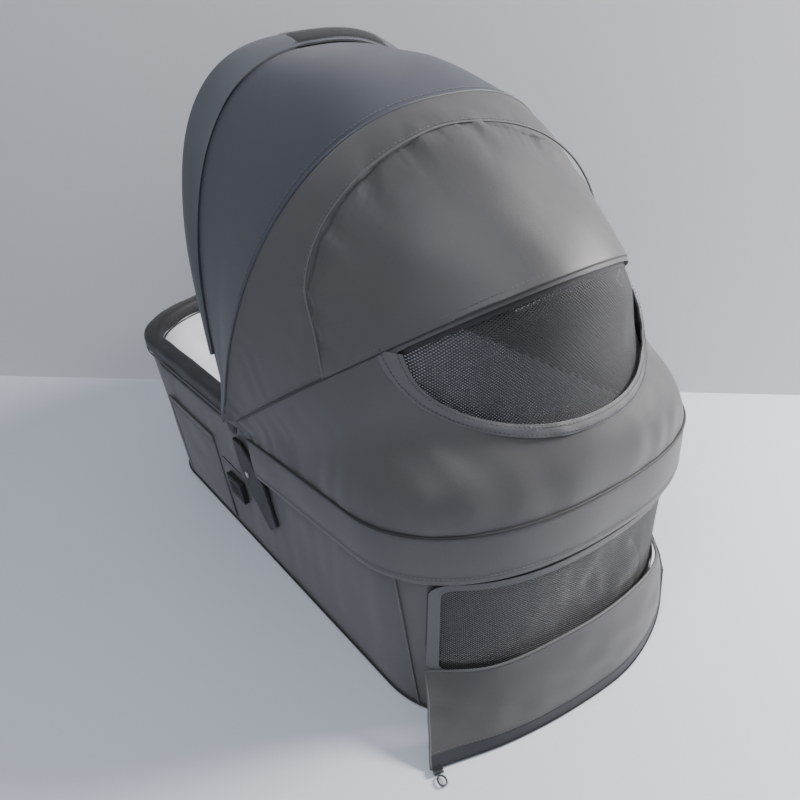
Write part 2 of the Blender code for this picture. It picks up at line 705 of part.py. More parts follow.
def build_side_fittings():
    for label, side in (("left", -1), ("right", 1)):
        adapter = side_plate(f"adapter_{label}", side, [ADAPTER_OUTLINE], ADAPTER_TOP, GAP,
                             GAP + ADAPTER_THICKNESS, BLACK_PLASTIC)
        bevel(adapter, 0.0012, 2)
        face = GAP + ADAPTER_THICKNESS + GAP
        rivet = side_plate(f"adapter_rivet_{label}", side, [circle(RIVET_RADIUS, 20, RIVET_PLACE)],
                           ADAPTER_TOP, face, face + RIVET_HEIGHT, STEEL)
        bevel(rivet, 0.0004, 1)
        build_release(label, side)
        pocket_height = POCKET_HIGH - POCKET_LOW
        loop = [(POCKET_FROM, 0), (POCKET_TO, 0), (POCKET_TO, pocket_height),
                (POCKET_FROM, pocket_height * POCKET_SLOPE)]
        side_plate(f"side_pocket_{label}", side, [loop], POCKET_LOW, GAP, GAP + POCKET_WALL, GREY_FABRIC)


def build_release(label, side):
    """A ribbed release button in a frame, with its coil spring behind it."""
    y, z = BUTTON_CENTRE
    button_face = GAP + SPRING_LENGTH + GAP
    outer = button_face + BUTTON_THICKNESS
    loops = [box_loop((y, 0), BUTTON_HALF, BUTTON_CLEARANCE + BUTTON_FRAME),
             box_loop((y, 0), BUTTON_HALF, BUTTON_CLEARANCE)]
    frame = side_plate(f"release_frame_{label}", side, loops, z, GAP, outer - BUTTON_CLEARANCE,
                       BLACK_PLASTIC)
    bevel(frame, 0.0006, 1)
    button = side_plate(f"release_button_{label}", side, [box_loop((y, 0), BUTTON_HALF)], z, button_face,
                        outer, BLACK_PLASTIC)
    bevel(button, 0.0008, 2)
    steps = SPRING_TURNS * 8
    reach = SPRING_LENGTH - 2 * SPRING_WIRE
    turn = lean_turn(side, y + BUTTON_HALF[0] + BUTTON_CLEARANCE + BUTTON_FRAME, z)
    points = []
    for i in range(steps + 1):
        angle = 2 * pi * SPRING_TURNS * i / steps
        local = Vector((y + SPRING_RADIUS * cos(angle), SPRING_RADIUS * sin(angle),
                        side * (GAP + SPRING_WIRE + reach * i / steps)))
        points.append(turn @ local)
    tube(f"release_spring_{label}", points, SPRING_WIRE, STEEL)


# ---------------------------------------------------------------- end flap
def fold_points():
    """Corners of the flap's fold line, which rises along the wall from the side seams to the head tip."""
    half = radians(FLAP_HALF_ANGLE)
    points = []
    for i in range(FLAP_SEGMENTS + 1):
        share = 2 * i / FLAP_SEGMENTS - 1
        z = FLAP_FOLD_TIP + (FLAP_FOLD_SIDE - FLAP_FOLD_TIP) * share * share
        inset = SHELL_DEPTH + WALL_LEAN * (1 - z / RIM_HEIGHT) - FLAP_STANDOFF
        points.append(head_point(pi / 2 + half * share, inset, z))
    return points


def edge_points():
    """Corners of the flap's free edge, which lies on the floor in a shallow curve."""
    points = []
    for i in range(FLAP_SEGMENTS + 1):
        share = 1 - 2 * i / FLAP_SEGMENTS
        x, reach = FLAP_CORNERS[0 if share > 0 else 1]
        rise = (FLAP_REACH_TIP - reach) * share * share
        points.append(Vector((x * abs(share), -FLAP_REACH_TIP + rise, FLAP_FLOOR)))
    return points


def strip(name, near, far, thickness, mat, origin):
    """A thin quad between a near and a far edge, thickened towards its back."""
    steps = 3
    points = []
    for row in range(2):
        edge = (near, far)[row]
        points += [edge[0].lerp(edge[1], i / steps) for i in range(steps + 1)]
    obj = mesh_object(name, points, grid_faces(2, steps + 1), mat, origin)
    return solidify(obj, thickness, 0.0)


def build_flap():
    """Five stretches side by side; each turns about its fold line, or about the fold corner nearest
    the middle, which is its origin."""
    fold, rest = fold_points(), edge_points()
    middle = FLAP_SEGMENTS // 2
    for i in range(FLAP_SEGMENTS):
        origin = fold[i + 1] if i < middle else fold[i]
        along = (rest[i + 1] - rest[i]).normalized()
        sides = [(fold[j] - rest[j]).normalized() for j in (i, i + 1)]
        outer = [rest[i] + along * TAPE_END_GAP, rest[i + 1] - along * TAPE_END_GAP]
        seam = [outer[0] + sides[0] * TAPE_WIDTH, outer[1] + sides[1] * TAPE_WIDTH]
        sewn = [seam[0] + sides[0] * TAPE_END_GAP, seam[1] + sides[1] * TAPE_END_GAP]
        top_along = (fold[i + 1] - fold[i]).normalized()
        top = [fold[i] + top_along * TAPE_END_GAP - sides[0] * FLAP_SKIN,
               fold[i + 1] - top_along * TAPE_END_GAP - sides[1] * FLAP_SKIN]
        strip(f"flap_fabric_{i + 1}", top, sewn, FLAP_SKIN, GREY_FABRIC, origin)
        strip(f"flap_tape_{i + 1}", seam, outer, TAPE_SKIN, ZIP_TAPE, origin)
    build_slider(rest)


def build_slider(rest):
    """The zip's slider at the flap's corner on the -X side, with its ring pull on the floor."""
    along = (rest[-2] - rest[-1]).normalized()
    out = Vector((along.y, -along.x, 0)).normalized()
    if out.y > 0:
        out = -out
    centre = rest[-1] + along * SLIDER_SIZE[0] * 0.6 + out * (SLIDER_SIZE[1] / 2 + TAPE_END_GAP)
    centre.z = FLAP_FLOOR + SLIDER_SIZE[2] / 2
    bpy.ops.mesh.primitive_cube_add(size=1)
    block = bpy.context.object
    block.name = "zip_slider"
    frame = Matrix((along, out, Vector((0, 0, 1)))).transposed().to_4x4()
    block.data.transform(frame @ Matrix.Diagonal((*SLIDER_SIZE, 1)))
    if frame.determinant() < 0:
        block.data.flip_normals()
    for holder in list(block.users_collection):
        holder.objects.unlink(block)
    place(block, STEEL, centre)
    bevel(block, 0.0012, 2)
    ring_centre = centre + out * (SLIDER_SIZE[1] / 2 + PULL_RADIUS + PULL_WIRE + GAP * 2)
    points = []
    for u, v in circle(PULL_RADIUS, 16):
        points.append(along * u * 0.7 + out * v + Vector((0, 0, PULL_WIRE + FLAP_FLOOR - ring_centre.z)))
    hinge = centre + out * (SLIDER_SIZE[1] / 2 + GAP * 2)
    points = [p + ring_centre - hinge for p in points]
    tube("zip_pull", points, PULL_WIRE, STEEL, hinge, closed=True)


# ---------------------------------------------------------------- build
clear_scene()
PARTS = bpy.data.collections.new("pet_carrycot")
CUTTERS = bpy.data.collections.new("cutters")
bpy.context.scene.collection.children.link(PARTS)
bpy.context.scene.collection.children.link(CUTTERS)
LAYOUT = bpy.data.objects.new("layout", None)
LAYOUT.location = (0, FOOTPRINT_SHIFT, 0)
PARTS.objects.link(LAYOUT)

GREY_FABRIC = material("grey_fabric", (0.125, 0.130, 0.145), 0.75)
CHARCOAL_FABRIC = material("charcoal_fabric", (0.035, 0.035, 0.040), 0.8)
LINER_FABRIC = material("liner_fabric", (0.70, 0.71, 0.73), 0.85)
BLACK_MESH = material("black_mesh", (0.015, 0.015, 0.017), 0.7)
ZIP_TAPE = material("zip_tape", (0.030, 0.032, 0.040), 0.6)
LEATHER = material("leather", (0.012, 0.011, 0.011), 0.45)
BLACK_PLASTIC = material("black_plastic", (0.012, 0.012, 0.013), 0.5)
RUBBER = material("rubber", (0.02, 0.02, 0.02), 0.9)
ALUMINIUM = material("aluminium", (0.60, 0.61, 0.62), 0.35, 1.0)
STEEL = material("steel", (0.50, 0.50, 0.50), 0.3, 1.0)

build_tub()
build_rim()
build_skirt()
build_hubs()
build_hood()
build_grip()
build_side_fittings()
build_flap()
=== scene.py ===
"""Looks of the pet stroller carrycot: cloth, padding, mesh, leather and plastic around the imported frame.

Every cloth piece is a fine grid laid on the frame's own surfaces, with its folds and puckers made in
code. Places come from the frame's boxes; the constants below only describe shapes and folds.
"""
import json
from math import atan2, cos, pi, radians, sin

import bmesh
import bpy
import numpy as np
from mathutils import Matrix, Vector


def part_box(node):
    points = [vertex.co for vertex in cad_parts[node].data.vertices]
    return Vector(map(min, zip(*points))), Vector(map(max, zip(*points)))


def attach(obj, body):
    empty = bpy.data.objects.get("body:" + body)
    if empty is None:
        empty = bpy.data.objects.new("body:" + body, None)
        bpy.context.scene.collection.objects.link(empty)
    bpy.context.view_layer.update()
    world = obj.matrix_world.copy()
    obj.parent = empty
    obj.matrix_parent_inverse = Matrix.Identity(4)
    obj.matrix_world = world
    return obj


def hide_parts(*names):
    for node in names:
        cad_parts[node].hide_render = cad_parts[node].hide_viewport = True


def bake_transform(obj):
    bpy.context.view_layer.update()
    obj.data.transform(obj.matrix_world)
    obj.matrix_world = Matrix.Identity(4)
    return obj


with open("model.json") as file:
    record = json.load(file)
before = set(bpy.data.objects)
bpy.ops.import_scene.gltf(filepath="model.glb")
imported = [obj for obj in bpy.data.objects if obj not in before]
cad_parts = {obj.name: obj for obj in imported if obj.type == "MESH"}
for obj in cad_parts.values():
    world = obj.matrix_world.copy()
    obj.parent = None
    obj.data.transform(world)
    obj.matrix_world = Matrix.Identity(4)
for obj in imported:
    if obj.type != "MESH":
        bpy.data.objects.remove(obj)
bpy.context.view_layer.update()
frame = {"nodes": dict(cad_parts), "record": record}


# ---------------------------------------------------------------- places read from the frame
def middle(box):
    return (np.array(box[0]) + np.array(box[1])) / 2


RIM_LOW, RIM_HIGH = (np.array(corner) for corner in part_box("rim_band"))
_, HUB_Y, HUB_Z = middle(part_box("hinge_pin_right"))
TUB_HALF = RIM_HIGH[0]
FOOT_LENGTH = RIM_HIGH[1] - HUB_Y
HEAD_LENGTH = HUB_Y - RIM_LOW[1]
FLOOR_BOARD_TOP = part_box("base_board")[1][2]
MATTRESS_LOW, MATTRESS_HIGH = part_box("mattress")

# ---------------------------------------------------------------- shape of the tub and its rim (metres)
HEAD_CORNER, HEAD_POWER = 0.1525, 2.33
FOOT_CORNER, FOOT_POWER = 0.150, 2.13
RIM_SLOPE = -0.0257
RIM_Z = RIM_HIGH[2] + RIM_SLOPE * HEAD_LENGTH      # top of the rim at the hub axis
WALL_LEAN = 0.019
BAND_WIDTH, BAND_HEIGHT = 0.026, 0.025
SHELL_DEPTH = 0.0030
LINER_DEPTH = 0.0161
PIPING_DROP = 0.0250        # piping line below the rim at the hub axis
PIPING_SLOPE = -0.0925
SKIRT_PROUD, SKIRT_HEIGHT, SKIRT_START = 0.0030, 0.057, 0.020
WINDOW_HALF, WINDOW_LOW, WINDOW_HIGH, WINDOW_ROUND = 0.168, 0.072, 0.198, 0.012
CORNER_SEAM = 0.295         # from the hub axis to the seam at the head end's corner

# ---------------------------------------------------------------- shape of the hood: half width, radius,
# superellipse power, angle up from +Y about the hub axis, lean of the soft top to -X
FRONT_EDGE = (0.2135, 0.4130, 2.90, 77.8, 0.010)
BAND_SEAM = (0.2170, 0.3970, 2.50, 83.2, 0.012)
MID_BOW = (0.2290, 0.4080, 2.45, 117.7, 0.022)
REAR_BOW = (0.2200, 0.4500, 2.00, 147.4, 0.032)
LEAN_START = 0.060
PANEL_SAG, REAR_PANEL_SAG = 0.005, 0.026
PANEL_START, BAND_START = 0.014, 0.090
MOON_HALF, MOON_SHIFT, MOON_LOW = 0.150, -0.014, 0.100
MOON_ENDS = (0.181, 0.160)    # heights of its -X and +X ends above the hub
MOON_STRIP, MOON_POWER = 0.008, 2.35
CLOTH = 0.0014              # thickness of a single layer


# ---------------------------------------------------------------- node materials
def link_input(tree, socket, value):
    if isinstance(value, bpy.types.NodeSocket):
        tree.links.new(value, socket)
    elif value is not None:
        socket.default_value = value


def add_node(tree, kind, settings=None, **inputs):
    node = tree.nodes.new(kind)
    for key, value in (settings or {}).items():
        setattr(node, key, value)
    for key, value in inputs.items():
        link_input(tree, node.inputs[key.replace("_", " ")], value)
    return node


def math_node(tree, operation, first, second=0.5):
    node = tree.nodes.new("ShaderNodeMath")
    node.operation = operation
    link_input(tree, node.inputs[0], first)
    link_input(tree, node.inputs[1], second)
    return node.outputs[0]


def weighted(tree, first, first_share, second, second_share):
    """The sum of two values, each times its share."""
    return math_node(tree, "ADD", math_node(tree, "MULTIPLY", first, first_share),
                     math_node(tree, "MULTIPLY", second, second_share))


def ranged(tree, value, **limits):
    """The value mapped to another range, named as the node's sockets are."""
    return add_node(tree, "ShaderNodeMapRange", None, Value=value, **limits).outputs[0]


def new_material(name, roughness, metallic=0.0, sheen=0.0, coat=0.0):
    mat = bpy.data.materials.new(name)
    mat.use_nodes = True
    tree = mat.node_tree
    shader = tree.nodes["Principled BSDF"]
    shader.inputs["Roughness"].default_value = roughness
    shader.inputs["Metallic"].default_value = metallic
    shader.inputs["Sheen Weight"].default_value = sheen
    shader.inputs["Sheen Roughness"].default_value = 0.45
    shader.inputs["Coat Weight"].default_value = coat
    return mat, tree, shader


def place_vector(tree, cloth):
    """Where on the piece: along the cloth in metres, or the place in space for a solid."""
    if cloth:
        return add_node(tree, "ShaderNodeUVMap", {"uv_map": "cloth"}).outputs[0]
    return add_node(tree, "ShaderNodeTexCoord").outputs["Object"]


def tinted(tree, colour, factor, low, high):
    """The colour, darker where factor is 0 and lighter where it is 1."""
    ramp = add_node(tree, "ShaderNodeValToRGB", None, Fac=factor)
    for element, share in zip(ramp.color_ramp.elements, (low, high)):
        element.color = (*[min(c * share, 1) for c in colour], 1)
    return ramp.outputs["Color"]


def noise_node(tree, vector, size, detail=3.0, roughness=0.55):
    return add_node(tree, "ShaderNodeTexNoise", None, Vector=vector, Scale=1 / size, Detail=detail,
                    Roughness=roughness).outputs["Fac"]


def threads(tree, vector, pitch, ways=("X", "Y")):
    """Two crossed sets of threads, each a wave from 0 to 1."""
    wave_scale = 2 * pi / 20 / pitch
    return [add_node(tree, "ShaderNodeTexWave", {"bands_direction": way}, Vector=vector, Scale=wave_scale,
                     Distortion=0.0, Detail=0.0).outputs["Fac"] for way in ways]


def fabric(name, colour, pitch=0.0012, roughness=0.60, sheen=0.10, spread=0.10, weave=0.3, blotch=0.07,
           cloth=True):
    """Woven cloth: crossed threads in the bump, uneven dye, flecks, and a soft nap."""
    mat, tree, shader = new_material(name, roughness, sheen=sheen)
    vector = place_vector(tree, cloth)
    warp, weft = threads(tree, vector, pitch)
    crossed = math_node(tree, "MULTIPLY", math_node(tree, "ADD", warp, weft), 0.5)
    solid = add_node(tree, "ShaderNodeTexCoord").outputs["Object"]
    dye = noise_node(tree, solid, blotch, 4.0)
    fleck = noise_node(tree, solid, 0.0016, 2.0)
    mixed = weighted(tree, dye, 0.6, fleck, 0.4)
    shade = weighted(tree, mixed, 0.85, crossed, 0.15)
    tint = tinted(tree, colour, shade, 1 - 2 * spread, 1 + 2 * spread)
    link_input(tree, shader.inputs["Base Color"], tint)
    rough = ranged(tree, dye, To_Min=roughness - 0.08, To_Max=roughness + 0.08)
    link_input(tree, shader.inputs["Roughness"], rough)
    height = math_node(tree, "ADD", crossed, math_node(tree, "MULTIPLY", fleck, 0.6))
    bump = add_node(tree, "ShaderNodeBump", None, Height=height, Strength=weave, Distance=0.0004)
    link_input(tree, shader.inputs["Normal"], bump.outputs[0])
    return mat


def knit_mesh(name, colour, pitch, opening):
    """Knitted mesh: threads round rows of small holes that let the light through."""
    mat, tree, shader = new_material(name, 0.6, sheen=0.2)
    vector = place_vector(tree, False)
    turned = add_node(tree, "ShaderNodeMapping", None, Vector=vector,
                      Rotation=(0, radians(45), 0)).outputs[0]
    warp, weft = threads(tree, turned, pitch, ("X", "Z"))
    summed = math_node(tree, "ADD", warp, weft)
    hole = math_node(tree, "GREATER_THAN", summed, opening)
    link_input(tree, shader.inputs["Alpha"], math_node(tree, "SUBTRACT", 1.0, hole))
    link_input(tree, shader.inputs["Base Color"], tinted(tree, colour, summed, 0.6, 1.8))
    bump = add_node(tree, "ShaderNodeBump", None, Height=summed, Strength=0.4, Distance=0.0005)
    link_input(tree, shader.inputs["Normal"], bump.outputs[0])
    return mat


def leather(name, colour):
    """Grained leatherette: pebbled cells with worn, slightly glossier tops."""
    mat, tree, shader = new_material(name, 0.42, coat=0.06)
    vector = place_vector(tree, False)
    cells = add_node(tree, "ShaderNodeTexVoronoi", None, Vector=vector, Scale=900.0).outputs["Distance"]
    soft = noise_node(tree, vector, 0.012, 4.0)
    link_input(tree, shader.inputs["Base Color"], tinted(tree, colour, soft, 0.7, 1.6))
    rough = math_node(tree, "ADD", math_node(tree, "MULTIPLY", cells, 0.25), 0.26)
    link_input(tree, shader.inputs["Roughness"], rough)
    bump = add_node(tree, "ShaderNodeBump", None, Height=cells, Strength=0.45, Distance=0.0005)
    link_input(tree, shader.inputs["Normal"], bump.outputs[0])
    return mat


def moulded(name, colour, roughness=0.45, metallic=0.0, grain=0.0009, wear=2.2, brushed=(1, 1, 1)):
    """Moulded plastic, rubber or metal: fine grain, handling marks, and rubbed, lighter edges."""
    mat, tree, shader = new_material(name, roughness, metallic)
    vector = place_vector(tree, False)
    stretched = add_node(tree, "ShaderNodeMapping", None, Vector=vector, Scale=brushed).outputs[0]
    fine = noise_node(tree, stretched, grain, 2.0)
    marks = noise_node(tree, vector, 0.02, 5.0, 0.65)
    edge = add_node(tree, "ShaderNodeNewGeometry").outputs["Pointiness"]
    rubbed = ranged(tree, edge, From_Min=0.50, From_Max=0.58)
    shade = weighted(tree, marks, 0.45, rubbed, 0.55)
    link_input(tree, shader.inputs["Base Color"], tinted(tree, colour, shade, 0.8, wear))
    rough = ranged(tree, marks, To_Min=max(roughness - 0.1, 0.05), To_Max=roughness + 0.15)
    link_input(tree, shader.inputs["Roughness"], rough)
    bump = add_node(tree, "ShaderNodeBump", None, Height=fine, Strength=0.25, Distance=0.0003)
    link_input(tree, shader.inputs["Normal"], bump.outputs[0])
    return mat


GREY = fabric("cloth_grey", (0.062, 0.061, 0.064), roughness=0.46)
SLATE = fabric("cloth_slate", (0.040, 0.044, 0.060), roughness=0.52)
TRIM = fabric("cloth_charcoal", (0.016, 0.016, 0.020), roughness=0.65)
BAND = fabric("cloth_band", (0.064, 0.069, 0.082), roughness=0.58)
BINDING = fabric("cloth_binding", (0.088, 0.089, 0.094), pitch=0.0009)
PIPING = fabric("cloth_piping", (0.012, 0.012, 0.015), pitch=0.0008, cloth=False)
LINER = fabric("cloth_liner", (0.70, 0.71, 0.76), pitch=0.0009, roughness=0.85, sheen=0.2, spread=0.04)
TAPE = fabric("zip_tape_cloth", (0.016, 0.018, 0.024), pitch=0.0008, roughness=0.65)
THREAD = fabric("stitch_thread", (0.110, 0.112, 0.118), pitch=0.0005, cloth=False)
DARK_THREAD = fabric("stitch_thread_dark", (0.030, 0.030, 0.034), pitch=0.0005, cloth=False)
WHITE_THREAD = fabric("loose_thread_white", (0.75, 0.75, 0.73), pitch=0.0005, cloth=False)
MESH = knit_mesh("knit_mesh_black", (0.016, 0.016, 0.018), 0.0021, 1.12)
HOOD_MESH = knit_mesh("knit_mesh_hood", (0.020, 0.020, 0.022), 0.0021, 1.10)
LEATHER = leather("grip_leather", (0.006, 0.006, 0.006))
PLASTIC = moulded("black_moulding", (0.008, 0.008, 0.009), wear=1.5)
RUBBER = moulded("foot_rubber", (0.020, 0.020, 0.020), 0.85, grain=0.0006)
ALUMINIUM = moulded("drawn_aluminium", (0.58, 0.59, 0.60), 0.32, 1.0, wear=1.2, brushed=(1, 1, 1))
STEEL = moulded("plated_steel", (0.55, 0.55, 0.55), 0.28, 1.0, wear=1.4)
ZIP_BLACK = moulded("zip_black_nickel", (0.03, 0.03, 0.033), 0.25, 0.8, wear=4.0)
BOARD = moulded("base_board_cloth", (0.05, 0.05, 0.054), 0.9, grain=0.0012)


# ---------------------------------------------------------------- mesh builders
def waves(points, size, seed, count=7, stretch=(1, 1, 1)):
    """A smooth random height from about -1 to 1 over the points, with swells of the given size."""
    rng = np.random.default_rng(seed)
    total = np.zeros(points.shape[:-1])
    for _ in range(count):
        way = rng.normal(size=3)
        way /= np.linalg.norm(way)
        length = size * rng.uniform(0.7, 1.6)
        total += np.sin(2 * pi / length * (points * np.array(stretch)) @ way + rng.uniform(0, 2 * pi))
    return total / np.sqrt(count)


def normals(points, wrap):
    """Unit normals of a grid: along the columns, crossed with across the rows."""
    padded = np.concatenate([points[:, -1:], points, points[:, :1]], axis=1) if wrap else points
    along = np.gradient(padded, axis=1)
    if wrap:
        along = along[:, 1:-1]
    across = np.gradient(points, axis=0)
    normal = np.cross(along, across)
    return normal / np.maximum(np.linalg.norm(normal, axis=-1, keepdims=True), 1e-12)


def grid_lengths(points):
    """Each grid point's distance along its row and its column, in metres."""
    along = np.zeros(points.shape[:2])
    across = np.zeros(points.shape[:2])
    along[:, 1:] = np.cumsum(np.linalg.norm(np.diff(points, axis=1), axis=-1), axis=1)
    across[1:] = np.cumsum(np.linalg.norm(np.diff(points, axis=0), axis=-1), axis=0)
    return along, across


def shell_faces(rows, columns, wrap):
    """Faces of a closed skin: the front grid, the back grid turned round, and the edges between them."""
    count = rows * columns
    faces = []
    last = columns if wrap else columns - 1
    for i in range(rows - 1):
        for j in range(last):
            a, b = i * columns + j, i * columns + (j + 1) % columns
            c, d = b + columns, a + columns
            faces.append((a, b, c, d))
            faces.append((d + count, c + count, b + count, a + count))
    for j in range(last):
        a, b = j, (j + 1) % columns
        faces.append((b, a, a + count, b + count))
        a, b = a + (rows - 1) * columns, b + (rows - 1) * columns
        faces.append((a, b, b + count, a + count))
    if not wrap:
        for i in range(rows - 1):
            a, b = i * columns, (i + 1) * columns
            faces.append((a, b, b + count, a + count))
            a, b = a + columns - 1, b + columns - 1
            faces.append((b, a, a + count, b + count))
    return faces


def plain_mesh(name, verts, faces):
    mesh = bpy.data.meshes.new(name)
    mesh.from_pydata([tuple(vert) for vert in verts], [], faces)
    mesh.update()
    return mesh


def turn_out(mesh, merge=False):
    """Turns the faces outwards, first joining points that lie together."""
    work = bmesh.new()
    work.from_mesh(mesh)
    if merge:
        bmesh.ops.remove_doubles(work, verts=work.verts, dist=1e-6)
    bmesh.ops.recalc_face_normals(work, faces=work.faces)
    work.to_mesh(mesh)
    work.free()


def lay_flat(mesh, along, across, copies):
    """Writes where each point lies on the flat cloth, in metres."""
    flat = np.concatenate([np.stack([along.ravel(), across.ravel()], axis=1)] * copies)
    loops = np.zeros(len(mesh.loops), int)
    mesh.loops.foreach_get("vertex_index", loops)
    mesh.uv_layers.new(name="cloth").data.foreach_set("uv", flat[loops].astype(np.float32).ravel())


def finish_mesh(name, mesh, mat, body):
    mesh.materials.append(mat)
    mesh.shade_smooth()
    mesh.set_sharp_from_angle(angle=radians(50))
    obj = bpy.data.objects.new(name, mesh)
    bpy.context.scene.collection.objects.link(obj)
    if body:
        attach(obj, body)
    return obj


def cloth(name, points, mat, body, slot, wrap=False, thickness=CLOTH, relief=None):
    """A sheet of cloth on a grid of points; relief lifts it along its normals, which are its face's."""
    points = np.array(points, float)
    normal = normals(points, wrap)
    if relief is not None:
        points = points + normal * relief[..., None]
        normal = normals(points, wrap)
    rows, columns = points.shape[:2]
    along, across = grid_lengths(points)
    skin = np.concatenate([points.reshape(-1, 3), (points - normal * thickness).reshape(-1, 3)])
    mesh = plain_mesh(name, skin, shell_faces(rows, columns, wrap))
    lay_flat(mesh, along, across, 2)
    turn_out(mesh, merge=True)
    obj = finish_mesh(name, mesh, mat, body)
    closing = float(np.linalg.norm(points[0, -1] - points[0, 0])) if wrap else 0
    obj["flat_width"] = float(along[:, -1].max()) + closing
    obj["flat_length"] = float(across[-1].max())
    return obj


def frames(path, closed):
    """Steady side and up vectors along a path."""
    if closed:
        tangent = np.roll(path, -1, axis=0) - np.roll(path, 1, axis=0)
    else:
        tangent = np.gradient(path, axis=0)
    tangent /= np.linalg.norm(tangent, axis=1, keepdims=True)
    side = np.cross(tangent[0], (0.13, 0.31, 0.94))
    side /= np.linalg.norm(side)
    sides = []
    for t in tangent:
        side = side - t * (side @ t)
        side /= np.linalg.norm(side)
        sides.append(side)
    sides = np.array(sides)
    return tangent, sides, np.cross(tangent, sides)


def cord(name, path, radius, mat, body, closed=False, sides=8):
    """A round cord, piping or wire along a path."""
    path = np.array(path, float)
    _, side, up = frames(path, closed)
    turn = np.arange(sides) * 2 * pi / sides
    spokes = side[:, None] * np.cos(turn)[:, None] + up[:, None] * np.sin(turn)[:, None]
    rings = path[:, None] + radius * spokes
    count = len(path)
    faces = []
    for i in range(count if closed else count - 1):
        for j in range(sides):
            a, b = i * sides + j, i * sides + (j + 1) % sides
            c, d = ((i + 1) % count) * sides + (j + 1) % sides, ((i + 1) % count) * sides + j
            faces.append((a, b, c, d))
    if not closed:
        faces += [tuple(reversed(range(sides))), tuple((count - 1) * sides + j for j in range(sides))]
    return finish_mesh(name, plain_mesh(name, rings.reshape(-1, 3), faces), mat, body)


FINE_STITCH = (0.0042, 0.0028, 0.0004)      # spacing, length and radius
SEAM_STITCH = (0.0045, 0.0030, 0.0004)


def resample(path, spacing):
    """Points along a path at an even spacing."""
    path = np.array(path, float)
    steps = np.concatenate([[0], np.cumsum(np.linalg.norm(np.diff(path, axis=0), axis=1))])
    places = np.linspace(0, steps[-1], max(int(steps[-1] / spacing), 2))
    return np.stack([np.interp(places, steps, path[:, k]) for k in range(3)], axis=1)


def smooth_path(points, count):
    """A Catmull-Rom curve through a few points, of any number of coordinates."""
    points = np.array(points, float)
    ends = np.concatenate([[2 * points[0] - points[1]], points, [2 * points[-1] - points[-2]]])
    result = []
    for place in np.linspace(0, len(points) - 1, count):
        i = min(int(place), len(points) - 2)
        t = place - i
        a, b, c, d = ends[i:i + 4]
        result.append(0.5 * (2 * b + (c - a) * t + (2 * a - 5 * b + 4 * c - d) * t * t
                             + (3 * b - a - 3 * c + d) * t ** 3))
    return np.array(result)


def stitches(name, path, mat, body, slot, spacing=0.0045, length=0.0030, radius=0.00045):
    """A row of short stitches lying along a path."""
    path = resample(path, spacing)
    tangent, side, up = frames(path, False)
    turn = np.arange(6) * pi / 3
    verts, faces = [], []
    for p, t, s, u in zip(path, tangent, side, up):
        base = len(verts)
        for end, size in ((-0.5, 0.35), (-0.25, 1.0), (0.25, 1.0), (0.5, 0.35)):
            for a in turn:
                verts.append(p + t * length * end + radius * size * (s * cos(a) + u * sin(a)))
        for ring in range(3):
            for j in range(6):
                a, b = base + ring * 6 + j, base + ring * 6 + (j + 1) % 6
                faces.append((a, b, b + 6, a + 6))
        faces += [tuple(base + j for j in reversed(range(6))), tuple(base + 18 + j for j in range(6))]
    return finish_mesh(name, plain_mesh(name, verts, faces), mat, body)


def cut(obj, loop):
    """Cuts a closed (x, z) outline, run along Y through the head end, out of a piece."""
    near, far = HUB_Y - HEAD_LENGTH * 0.45, HUB_Y - HEAD_LENGTH * 1.4
    count = len(loop)
    verts = [(x, near, z) for x, z in loop] + [(x, far, z) for x, z in loop]
    faces = [tuple(reversed(range(count))), tuple(range(count, 2 * count))]
    faces += [(j, (j + 1) % count, (j + 1) % count + count, j + count) for j in range(count)]
    mesh = plain_mesh("cutter", verts, faces)
    turn_out(mesh)
    cutter = bpy.data.objects.new("cutter", mesh)
    bpy.context.scene.collection.objects.link(cutter)
    mod = obj.modifiers.new("cut", "BOOLEAN")
    mod.object, mod.solver, mod.operation = cutter, "EXACT", "DIFFERENCE"
    bpy.context.view_layer.update()
    done = bpy.data.meshes.new_from_object(obj.evaluated_get(bpy.context.evaluated_depsgraph_get()))
    obj.modifiers.clear()
    obj.data = done
    bpy.data.objects.remove(cutter, do_unlink=True)
    return obj


# ---------------------------------------------------------------- the tub's surfaces
def quarter(q, inset, length, corner, power):
    """A quarter of the plan: q from 0 to 1 along the straight side, then to 2 round the corner."""
    angle = np.clip(q - 1, 0, 1) * pi / 2
    x = (TUB_HALF - inset) * np.clip(np.cos(angle), 0, 1) ** (2 / power)
    y = (length - corner) * np.minimum(q, 1) + (corner - inset) * np.sin(angle) ** (2 / power)
    return x, y


def even_quarter(length, corner, power):
    """Values of q, and how far along the quarter each one is."""
    q = np.linspace(0, 2, 801)
    x, y = quarter(q, 0, length, corner, power)
    return q, np.concatenate([[0], np.cumsum(np.hypot(np.diff(x), np.diff(y)))])


FOOT_SHAPE = (FOOT_LENGTH, FOOT_CORNER, FOOT_POWER)
HEAD_SHAPE = (HEAD_LENGTH, HEAD_CORNER, HEAD_POWER)


def stations(count):
    """Evenly spaced places round the plan, from the +X side over the foot end to -X and the head end."""
    foot_q, foot_run = even_quarter(*FOOT_SHAPE)
    head_q, head_run = even_quarter(*HEAD_SHAPE)
    foot, head = foot_run[-1], head_run[-1]
    run = np.arange(count) / count * 2 * (foot + head)
    side = np.where((run < foot) | (run > 2 * foot + head), 1.0, -1.0)
    at_foot = run < 2 * foot
    q_foot = np.interp(np.where(run < foot, run, 2 * foot - run), foot_run, foot_q)
    rest = run - 2 * foot
    q_head = np.interp(np.where(rest < head, rest, 2 * head - rest), head_run, head_q)
    return side, at_foot, np.where(at_foot, q_foot, q_head)


